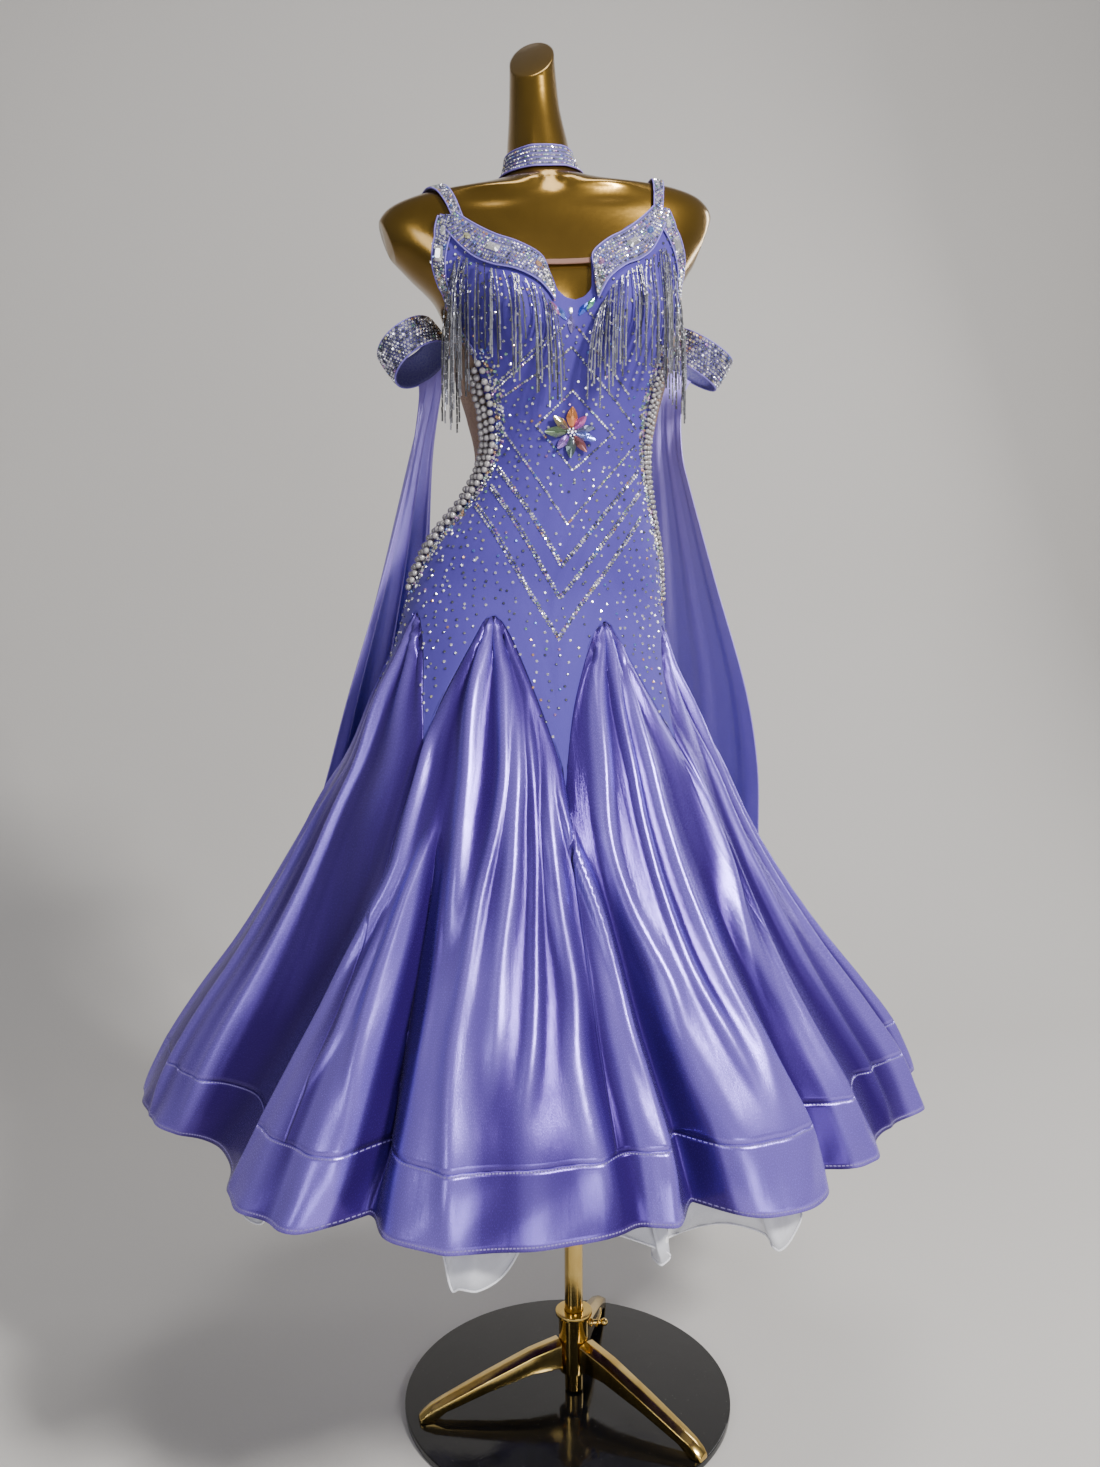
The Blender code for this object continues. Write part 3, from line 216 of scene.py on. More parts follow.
CREPE_LIFT = 0.0026
PANEL_LIFT = CREPE_LIFT + CLOTH
TRIM_LIFT = PANEL_LIFT + 0.0004
FIGURE_MIDDLE = -0.026
FORM_BOTTOM = 0.880
FORM_TOP = 1.755
WAIST = 1.160
HIP_CLEARANCE = 0.0022
NECK_CUT = ((-0.040, 0.022, 1.696), (-0.30, -0.66, 0.69))
CUT_ABOVE = 1.400
NECK_FROM = 1.620
RIGHT_CUT_IN = 0.007
ARM_FROM = 0.110
ARM_CUT = ((0.191, 0.010, 1.470), (0.93, -0.06, -0.36))
CUT_BEVEL = 0.0022
# Columns: height, centre_x, centre_y, half_width, front, back, squareness.
FORM_SECTIONS = (
    (0.880, -0.040, 0.004, 0.130, 0.084, 0.090, 2.2),
    (0.930, -0.040, 0.008, 0.147, 0.092, 0.105, 2.2),
    (0.990, -0.044, 0.010, 0.157, 0.095, 0.113, 2.2),
    (1.050, -0.042, 0.008, 0.154, 0.093, 0.109, 2.2),
    (1.110, -0.032, 0.004, 0.139, 0.086, 0.096, 2.2),
    (1.165, -0.018, 0.001, 0.115, 0.077, 0.081, 2.2),
    (1.215, -0.011, 0.000, 0.104, 0.073, 0.073, 2.2),
    (1.270, -0.010, 0.000, 0.114, 0.079, 0.077, 2.2),
    (1.320, -0.010, 0.000, 0.128, 0.086, 0.083, 2.2),
    (1.370, -0.010, 0.001, 0.138, 0.091, 0.087, 2.2),
    (1.415, -0.014, 0.004, 0.150, 0.089, 0.086, 2.2),
    (1.450, -0.020, 0.007, 0.177, 0.082, 0.082, 2.2),
    (1.485, -0.025, 0.010, 0.201, 0.074, 0.074, 2.2),
    (1.516, -0.027, 0.011, 0.198, 0.067, 0.067, 2.2),
    (1.534, -0.028, 0.012, 0.164, 0.061, 0.060, 2.2),
    (1.544, -0.030, 0.013, 0.090, 0.056, 0.054, 2.1),
    (1.553, -0.032, 0.014, 0.053, 0.050, 0.049, 2.0),
    (1.572, -0.034, 0.016, 0.041, 0.044, 0.044, 2.0),
    (1.600, -0.036, 0.019, 0.036, 0.039, 0.039, 2.0),
    (1.645, -0.039, 0.023, 0.030, 0.033, 0.033, 2.0),
    (1.760, -0.042, 0.030, 0.024, 0.028, 0.028, 2.0),
)
HIP = 1.045
SKIRT_SECTIONS = (
    (0.400, -0.048, 0.000, 0.494, 0.419, 0.440, 2.0),
    (0.500, -0.046, 0.000, 0.441, 0.378, 0.398, 2.0),
    (0.560, -0.048, 0.000, 0.400, 0.343, 0.362, 2.0),
    (0.629, -0.050, 0.000, 0.348, 0.301, 0.318, 2.0),
    (0.687, -0.052, 0.000, 0.309, 0.268, 0.284, 2.0),
    (0.750, -0.054, 0.000, 0.271, 0.236, 0.250, 2.0),
    (0.810, -0.054, 0.000, 0.240, 0.207, 0.220, 2.0),
    (0.865, -0.051, 0.000, 0.214, 0.181, 0.192, 2.0),
    (0.930, -0.050, 0.002, 0.190, 0.149, 0.160, 2.0),
    (0.986, -0.047, 0.004, 0.168, 0.122, 0.133, 2.1),
)
DRESS_SECTIONS = SKIRT_SECTIONS + tuple(row for row in FORM_SECTIONS if row[0] > HIP)
BUST = {"reach": 0.066, "height": 1.372, "width": 0.045, "tall": 0.052, "depth": 0.033}
FORM_BUST_DEPTH = 0.024
# Columns: height, slope of the figure along X.
SLOPES = ((0.860, 0.0), (1.000, -0.06), (1.100, -0.06), (1.250, 0.0), (1.380, 0.07), (1.800, 0.07))
# Soft ridges (+) and hollows (-) of the throat and collarbones.
# Columns: x_from_middle, height, half_width, half_height, depth.
THROAT = (
    (0.000, 1.537, 0.011, 0.012, -0.0050),
    (0.024, 1.541, 0.013, 0.006, 0.0030),
    (-0.024, 1.541, 0.013, 0.006, 0.0030),
    (0.064, 1.533, 0.036, 0.006, 0.0034),
    (-0.064, 1.533, 0.036, 0.006, 0.0034),
    (0.020, 1.575, 0.007, 0.026, 0.0024),
    (-0.020, 1.575, 0.007, 0.026, 0.0024),
    (0.070, 1.515, 0.034, 0.009, -0.0020),
    (-0.070, 1.515, 0.034, 0.009, -0.0020),
)


def read(rows, at):
    """Straight-line reading of a table whose first column rises."""
    table = np.array(rows, dtype=float)
    found = [np.interp(at, table[:, 0], column) for column in table.T[1:]]
    return found[0] if len(found) == 1 else found


def smooth_read(rows, at):
    """Cubic reading of a table whose first column rises, through every row."""
    table = np.array(rows, dtype=float)
    keys = table[:, 0]
    values = table[:, 1:]
    at = np.clip(at, keys[0], keys[-1])
    low = np.clip(np.searchsorted(keys, at) - 1, 0, len(keys) - 2)
    high = low + 1
    below = np.maximum(low - 1, 0)
    above = np.minimum(high + 1, len(keys) - 1)
    span = keys[high] - keys[low]
    t = ((at - keys[low]) / span)[..., None]
    span = span[..., None]
    leave = (values[high] - values[below]) / (keys[high] - keys[below])[..., None] * span
    arrive = (values[above] - values[low]) / (keys[above] - keys[low])[..., None] * span
    found = (2 * t**3 - 3 * t**2 + 1) * values[low] + (t**3 - 2 * t**2 + t) * leave
    found = found + (3 * t**2 - 2 * t**3) * values[high] + (t**3 - t**2) * arrive
    return np.moveaxis(found, -1, 0)


def rise(value):
    value = np.clip(value, 0.0, 1.0)
    return value * value * (3.0 - 2.0 * value)


def signed_power(value, power):
    return np.sign(value) * np.abs(value) ** power


def bust_reach(x_from_middle, height, depth):
    reach = 0.0
    for side in (-1, 1):
        across = (x_from_middle - side * BUST["reach"]) / BUST["width"]
        up = (height - BUST["height"]) / BUST["tall"]
        reach = reach + depth * np.exp(-(across**2 + up**2))
    return reach


def node_group(name, inputs, outputs):
    """A shader node group with these sockets by name. It returns its tree and its two ends."""
    made = bpy.data.node_groups.new(name, "ShaderNodeTree")
    for in_out, sockets in (("INPUT", inputs), ("OUTPUT", outputs)):
        for label, kind in sockets.items():
            made.interface.new_socket(label, in_out=in_out, socket_type=f"NodeSocket{kind}")
    return made, made.nodes.new("NodeGroupInput").outputs, made.nodes.new("NodeGroupOutput")


def speckled(tree, shader, where, scale, detail, gain, base, distortion=0.0):
    """A roughness that follows a noise, which is returned as a height."""
    inputs = {"Vector": where, "Scale": scale, "Detail": detail, "Distortion": distortion}
    inputs.update({"Gain": gain, "Base": base})
    made = put(tree, "Group", inputs, node_tree=speckle)
    link(tree, made.outputs["Roughness"], shader, "Roughness")
    return made.outputs["Height"]


def section_point(rows, angle, height, bust_depth):
    """Points of the figure at an angle from its front and a height before its slope."""
    angle, height = np.broadcast_arrays(np.asarray(angle, float), np.asarray(height, float))
    middle_x, middle_y, half_width, front, back, squareness = smooth_read(rows, height)
    sine, cosine = np.sin(np.radians(angle)), np.cos(np.radians(angle))
    x = half_width * signed_power(sine, 2.0 / squareness)
    y = -np.where(cosine >= 0, front, back) * signed_power(cosine, 2.0 / squareness)
    y = y - np.where(cosine > 0, bust_reach(x, height, bust_depth) * np.sqrt(np.abs(cosine)), 0.0)
    slope = read(SLOPES, height)
    return np.stack((middle_x + x, middle_y + y, height + slope * x), -1)


def throat(point, height, facing):
    """How far the form's front stands out at the throat and collarbones."""
    reach = 0.0
    for x, up, wide, tall, depth in THROAT:
        across = (point[..., 0] + 0.030 - x) / wide
        reach = reach + depth * np.exp(-(across**2) - ((height - up) / tall) ** 2)
    return reach * np.clip(facing, 0.0, 1.0)


def form_point(angle, height):
    point = section_point(FORM_SECTIONS, angle, height, FORM_BUST_DEPTH)
    facing = np.cos(np.radians(np.asarray(angle, float)))
    point[..., 1] -= throat(point, np.asarray(height, float), facing)
    return point


def outward(surface, angle, height):
    across = surface(angle + 0.3, height) - surface(angle - 0.3, height)
    up = surface(angle, height + 0.0015) - surface(angle, height - 0.0015)
    out = np.cross(across, up)
    return out / np.maximum(np.linalg.norm(out, axis=-1, keepdims=True), 1e-12)


def lifted(surface, angle, height, lift):
    """Points moved out square to a surface."""
    lift = np.asarray(lift, float)
    return surface(angle, height) + outward(surface, angle, height) * lift[..., None]


def settle(piece, nodes=(), body="dressed_form"):
    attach(piece, body)
    if nodes:
        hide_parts(*nodes)
    return piece


def cloth(name, columns, rows, place, skin, span, ring=False, thick=CLOTH, centre=None, marks=None):
    """A sheet of cloth: a grid put at place(share across, share down), with its thickness added
    inwards. Its UV runs in metres across and down the flat cloth."""
    bm = bmesh.new()
    uv = bm.loops.layers.uv.new("UVMap")
    bmesh.ops.create_grid(bm, x_segments=columns, y_segments=rows, size=0.5)
    for face in bm.faces:
        for loop in face.loops:
            x, y, _ = loop.vert.co
            loop[uv].uv = ((x + 0.5) * span[0], (0.5 - y) * span[1])
    flat = np.array([vert.co[:] for vert in bm.verts])
    share, down = flat[:, 0] + 0.5, 0.5 - flat[:, 1]
    for vert, point in zip(bm.verts, place(share, down)):
        vert.co = point
    for key, mark in (marks or {}).items():
        layer = bm.verts.layers.float.new(key)
        for vert, value in zip(bm.verts, mark(share, down)):
            vert[layer] = value
    if ring:
        bmesh.ops.remove_doubles(bm, verts=bm.verts, dist=1e-5)
    bm.normal_update()
    facing = 0.0
    for face in bm.faces:
        middle = face.calc_center_median()
        start = Vector(centre) if centre else Vector((FIGURE_MIDDLE, 0.0, middle.z))
        facing += face.normal.dot(middle - start)
    if facing < 0.0:
        bmesh.ops.reverse_faces(bm, faces=bm.faces)
    made = keep(name, bm, skin)
    wall = made.modifiers.new("thickness", "SOLIDIFY")
    wall.thickness = thick
    wall.offset = -1.0
    return made


speckle, given, end = node_group(
    "speckle",
    {"Vector": "Vector", **dict.fromkeys(("Scale", "Detail", "Distortion", "Gain", "Base"), "Float")},
    {"Height": "Float", "Roughness": "Float"},
)
grain = noise(speckle, given["Vector"], given["Scale"], given["Detail"], given["Distortion"])
link(speckle, grain, end, "Height")
link(speckle, sums(speckle, "MULTIPLY_ADD", grain, given["Gain"], given["Base"]), end, "Roughness")

gold_skin, tree, shader = new_material("gold_paint", Metallic=0.88, Coat_Weight=0.5, Coat_Roughness=0.12)
where = put(tree, "TexCoord").outputs["Object"]
patches = noise(tree, where, 9.0, 4.0)
tones = [(0.30, (0.215, 0.122, 0.018)), (0.52, (0.270, 0.155, 0.024)), (0.75, (0.330, 0.196, 0.034))]
link(tree, ramp(tree, patches, tones), shader, "Base Color")
speckled(tree, shader, where, 900.0, 2.0, 0.05, 0.20)
bumped(tree, shader, noise(tree, where, 60.0, 2.0), 0.0002)

FORM_AROUND = 144
FORM_RINGS = 150
heights = np.linspace(FORM_BOTTOM, FORM_TOP, FORM_RINGS)
heights = np.sort(np.concatenate((heights, np.linspace(1.500, 1.560, 40))))
turns = np.arange(FORM_AROUND) * 360.0 / FORM_AROUND
bm = bmesh.new()
loops = []
for height in heights:
    inset = -HIP_CLEARANCE * float(rise((WAIST - height) / 0.03))
    ring = lifted(form_point, turns, np.full(FORM_AROUND, height), np.full(FORM_AROUND, inset))
    verts = [bm.verts.new(point) for point in ring]
    loops.append(verts)
for vert in loops[0]:
    vert.co.z = FORM_BOTTOM
for low, high in zip(loops, loops[1:]):
    for i in range(FORM_AROUND):
        bm.faces.new((low[i - 1], low[i], high[i], high[i - 1]))
bm.faces.new(list(reversed(loops[0])))
bm.faces.new(loops[-1])
cuts = [(*NECK_CUT, 0)]
for side in (-1, 1):
    point, normal = ARM_CUT
    place = (FIGURE_MIDDLE + side * point[0] - RIGHT_CUT_IN * (side > 0), point[1], point[2])
    cuts.append((place, (side * normal[0], normal[1], normal[2]), side))
for point, normal, side in cuts:
    upper = []
    for face in bm.faces:
        middle = face.calc_center_median()
        if side == 0 and middle.z > NECK_FROM:
            upper.append(face)
        if side and middle.z > CUT_ABOVE and side * (middle.x - FIGURE_MIDDLE) > ARM_FROM:
            upper.append(face)
    edges = {edge for face in upper for edge in face.edges}
    verts = {vert for face in upper for vert in face.verts}
    cut = bmesh.ops.bisect_plane(
        bm, geom=[*verts, *edges, *upper], dist=1e-5, plane_co=point, plane_no=normal, clear_outer=True
    )
    rim = [item for item in cut["geom_cut"] if isinstance(item, bmesh.types.BMEdge)]
    cap = bmesh.ops.holes_fill(bm, edges=rim, sides=0)["faces"]
    inset = bmesh.ops.inset_region(bm, faces=cap, thickness=CUT_BEVEL, depth=0.0)
    for face in inset["faces"]:
        face.smooth = True
    bmesh.ops.translate(bm, verts=cap[0].verts, vec=Vector(normal).normalized() * 0.0006)
bmesh.ops.recalc_face_normals(bm, faces=bm.faces)
form = settle(keep("form", bm, gold_skin), ("form_torso",))


# The stand: a black lacquered disc, three pressed brass legs, and a brass sleeve in which
# the pole slides under a clamp with a wing and a ball-ended lever.
DISC_RADIUS = 0.214
DISC_MIDDLE_X = -0.009
DISC_HEIGHT = 0.0095
POLE_RADIUS = 0.012
POLE_FOOT = 0.012
POLE_TOP = 0.8797
SLEEVE_RADIUS = 0.020
SLEEVE_BOTTOM = 0.040
SLEEVE_TOP = 0.121
LEG_ANGLES = (-81.0, 39.0, 159.0)
# Stations along a leg: reach from the axis, top, bottom, width.
LEG_STATIONS = (
    (0.0203, 0.082, 0.050, 0.026),
    (0.060, 0.073, 0.050, 0.026),
    (0.120, 0.053, 0.037, 0.024),
    (0.176, 0.033, 0.021, 0.021),
    (0.192, 0.027, 0.0100, 0.019),
    (0.203, 0.020, 0.0098, 0.018),
    (0.209, 0.015, 0.0098, 0.013),
)
LEG_RIDGE = 0.003
LEG_BEVEL = 0.0012
SCREW_ANGLE = 81.0
SCREW_HEIGHT = 0.103
KNOB_RADIUS = 0.0050
KNOB_STEPS = 16
WING_THICKNESS = 0.0022


def spun(name, profile, steps, skin, axis=(0.0, 0.0, 1.0), foot=(0.0, 0.0, 0.0)):
    """A profile of (radius, height) points, from the bottom up, spun about an axis."""
    bm = bmesh.new()
    verts = [bm.verts.new((radius, 0.0, height)) for radius, height in profile]
    edges = [bm.edges.new(pair) for pair in zip(verts, verts[1:])]
    bmesh.ops.spin(
        bm, geom=[*verts, *edges], cent=(0, 0, 0), axis=(0, 0, 1), angle=math.tau, steps=steps, use_merge=True
    )
    bmesh.ops.remove_doubles(bm, verts=bm.verts, dist=1e-6)
    turn = Vector((0.0, 0.0, 1.0)).rotation_difference(Vector(axis)).to_matrix().to_4x4()
    bmesh.ops.transform(bm, matrix=Matrix.Translation(foot) @ turn, verts=bm.verts)
    bmesh.ops.recalc_face_normals(bm, faces=bm.faces)
    made = keep(name, bm, skin)
    made.data.set_sharp_from_angle(angle=math.radians(38))
    return made


def rounded(corners, radius, steps=4):
    """A profile whose inner corners are rounded off."""
    found = [corners[0]]
    for before, corner, after in zip(corners, corners[1:], corners[2:]):
        corner = Vector(corner)
        first = corner + (Vector(before) - corner).normalized() * radius
        last = corner + (Vector(after) - corner).normalized() * radius
        for step in range(steps + 1):
            t = step / steps
            found.append(tuple(first.lerp(corner, t).lerp(corner.lerp(last, t), t)))
    return [*found, corners[-1]]


brass_skin, tree, shader = new_material("polished_brass", Metallic=1.0)
where = put(tree, "TexCoord").outputs["Object"]
streaks = put(tree, "Mapping", {"Vector": where, "Scale": (1.0, 1.0, 0.08)}).outputs[0]
rubbed = speckled(tree, shader, streaks, 260.0, 3.0, 0.14, 0.08)
tarnish = noise(tree, where, 26.0, 5.0, 0.6)
tones = [(0.30, (0.62, 0.40, 0.10)), (0.62, (0.78, 0.56, 0.19)), (0.85, (0.83, 0.64, 0.27))]
link(tree, ramp(tree, tarnish, tones), shader, "Base Color")
bumped(tree, shader, rubbed, 0.00005)

black_skin, tree, shader = new_material("gloss_black")
where = put(tree, "TexCoord").outputs["Object"]
dust = put(tree, "TexVoronoi", {"Vector": where, "Scale": 130.0}).outputs["Distance"]
specks = sums(tree, "MULTIPLY", sums(tree, "LESS_THAN", dust, 0.07), noise(tree, where, 7.0))
link(tree, blend(tree, specks, (0.005, 0.005, 0.006, 1), (0.20, 0.19, 0.18, 1)), shader, "Base Color")
bumped(tree, shader, speckled(tree, shader, where, 11.0, 5.0, 0.22, 0.0, 1.2), 0.0004)

edge = rounded([(0.0, 0.0), (DISC_RADIUS, 0.0), (DISC_RADIUS, DISC_HEIGHT), (0.0, DISC_HEIGHT)], 0.0018)
disc = spun("disc", edge, 144, black_skin, foot=(DISC_MIDDLE_X, 0.0, 0.0))
settle(disc, ("base_disc",), "stand")
for number, angle in enumerate(LEG_ANGLES, start=1):
    out = Vector((math.sin(math.radians(angle)), -math.cos(math.radians(angle)), 0.0))
    side = Vector((-out.y, out.x, 0.0))
    bm = bmesh.new()
    rings = []
    for reach, top, bottom, width in LEG_STATIONS:
        section = ((-0.5, bottom), (0.5, bottom), (0.5, top), (0.0, top + LEG_RIDGE), (-0.5, top))
        corners = [out * reach + side * width * x + Vector((0.0, 0.0, z)) for x, z in section]
        rings.append([bm.verts.new(corner) for corner in corners])
    for first, second in zip(rings, rings[1:]):
        for i in range(5):
            bm.faces.new((first[i - 1], first[i], second[i], second[i - 1]))
    bm.faces.new(rings[0])
    bm.faces.new(rings[-1])
    bmesh.ops.recalc_face_normals(bm, faces=bm.faces)
    sharp = [edge for edge in bm.edges if edge.calc_face_angle(0.0) > math.radians(20)]
    bmesh.ops.bevel(bm, geom=sharp, offset=LEG_BEVEL, segments=3, profile=0.5, affect="EDGES", material=-1)
    settle(keep(f"leg_{number}", bm, brass_skin), (f"stand_leg_{number}",), "stand")
bore = POLE_RADIUS + 0.0004
collar = SLEEVE_RADIUS + 0.004
profile = [
    (bore, SLEEVE_BOTTOM),
    (SLEEVE_RADIUS, SLEEVE_BOTTOM),
    (SLEEVE_RADIUS, SLEEVE_TOP - 0.0065),
    (collar, SLEEVE_TOP - 0.0052),
    (collar, SLEEVE_TOP),
    (bore, SLEEVE_TOP),
    (bore, SLEEVE_BOTTOM),
]
sleeve = spun("sleeve", rounded(profile, 0.0006, 3), 96, brass_skin)
settle(sleeve, ("stand_sleeve",), "stand")
profile = [(0.0, POLE_FOOT), (POLE_RADIUS, POLE_FOOT), (POLE_RADIUS, POLE_TOP), (0.0, POLE_TOP)]
pole = spun("brass_pole", rounded(profile, 0.0010, 3), 64, brass_skin)
settle(pole, ("pole",), "raised_pole")

aim = math.radians(SCREW_ANGLE)
out = Vector((math.sin(aim), -math.cos(aim), 0.0))
foot = out * (SLEEVE_RADIUS + 0.0003) + Vector((0.0, 0.0, SCREW_HEIGHT))
profile = [(0.0, 0.0), (0.0055, 0.0), (0.0055, 0.004), (0.0035, 0.005), (0.0035, 0.015), (0.0, 0.015)]
screw = spun("screw", rounded(profile, 0.0006, 3), 32, brass_skin, axis=out, foot=foot)
settle(screw, ("clamp_screw",), "clamp")
ball = [(0.0, 0.0)]
for step in range(1, KNOB_STEPS + 1):
    turn = math.pi * step / KNOB_STEPS
    ball.append((KNOB_RADIUS * math.sin(turn), KNOB_RADIUS * (1 - math.cos(turn))))
knob = spun("screw_knob", ball, 32, brass_skin, axis=out, foot=foot + out * 0.0145)
settle(knob, body="clamp")
bm = bmesh.new()
blade = [(-0.0070, -0.004), (0.0070, -0.004), (0.0095, 0.006)]
blade += [(0.0085, 0.017), (-0.0085, 0.017), (-0.0095, 0.006)]
along = out.cross(Vector((0.0, 0.0, 1.0)))
lean = (Vector((0.0, 0.0, 1.0)) + out * 0.28).normalized()
base = foot + out * 0.0095
plate = bm.faces.new([bm.verts.new(base + along * x * 0.8 + lean * z) for x, z in blade])
grown = bmesh.ops.extrude_face_region(bm, geom=[plate], use_keep_orig=True)["geom"]
verts = [item for item in grown if isinstance(item, bmesh.types.BMVert)]
bmesh.ops.translate(bm, verts=verts, vec=out * WING_THICKNESS)
bmesh.ops.recalc_face_normals(bm, faces=bm.faces)
bmesh.ops.bevel(bm, geom=bm.edges[:], offset=0.0006, segments=3, profile=0.5, affect="EDGES", material=-1)
settle(keep("screw_wing", bm, brass_skin), body="clamp")


# The stretch crepe body: a front and a back panel, cut low at the keyhole and at the waist's
# sides, whose lower edge falls in points between the satin godets.
GODETS = 8
GODET_SPREAD = 360.0 / GODETS
GODET_PEAK = 1.027
GODET_TIP = 0.20
SEAM_SHARPNESS = 1.65
SIDE_SEAM = 90.0
HEM = 0.436
BAND_TOP = 0.503
CREPE_POINTS = (
    (0.0, 0.825),
    (45.0, 0.866),
    (90.0, 0.876),
    (135.0, 0.868),
    (180.0, 0.850),
    (225.0, 0.868),
    (270.0, 0.876),
    (315.0, 0.866),
    (360.0, 0.825),
)
# How far the skirt's seams are turned round the figure. Columns: height, degrees.
TWIST = ((0.400, 3.0), (0.825, 3.0), (1.027, 1.0), (1.100, 0.0))
# Columns: hem_angle, top_angle, width, height, start.
FOLDS = (
    (-170.0, -172.0, 6.5, -0.052, 0.80),
    (-157.0, -156.0, 6.0, 0.016, 0.98),
    (-146.0, -146.0, 5.5, -0.046, 0.76),
    (-136.0, -140.0, 5.0, 0.012, 0.90),
    (-121.0, -120.0, 6.5, -0.054, 0.82),
    (-98.0, -92.0, 9.0, 0.014, 0.96),
    (-80.0, -76.0, 5.0, 0.010, 0.96),
    (-66.0, -48.0, 16.0, -0.070, 0.86),
    (-46.0, -40.5, 5.0, 0.016, 0.88),
    (-36.0, -33.0, 4.0, 0.018, 0.92),
    (-30.0, -28.0, 3.6, -0.046, 0.80),
    (-17.0, -18.0, 5.0, 0.014, 0.98),
    (-7.5, -10.0, 4.5, 0.008, 0.95),
    (0.5, -3.0, 3.5, 0.006, 0.84),
    (9.0, 2.0, 9.0, -0.036, 0.80),
    (9.5, 4.0, 3.4, 0.024, 0.86),
    (15.0, 8.0, 3.2, -0.036, 0.80),
    (20.0, 17.0, 4.2, 0.012, 0.96),
    (27.0, 28.0, 4.6, 0.014, 0.92),
    (36.0, 38.0, 3.6, -0.034, 0.78),
    (45.0, 46.0, 5.0, 0.010, 0.86),
    (53.0, 50.0, 13.0, -0.032, 0.84),
    (65.0, 60.0, 5.0, 0.012, 0.98),
    (77.0, 78.0, 4.6, -0.016, 0.84),
    (90.0, 88.0, 8.0, 0.014, 0.92),
    (108.0, 112.0, 5.5, -0.050, 0.80),
    (124.0, 122.0, 5.5, 0.016, 0.92),
    (137.0, 135.0, 6.0, -0.052, 0.82),
    (152.0, 156.0, 6.0, 0.016, 0.98),
    (165.0, 166.0, 5.5, -0.040, 0.78),
    (178.0, 180.0, 5.5, 0.014, 0.82),
)
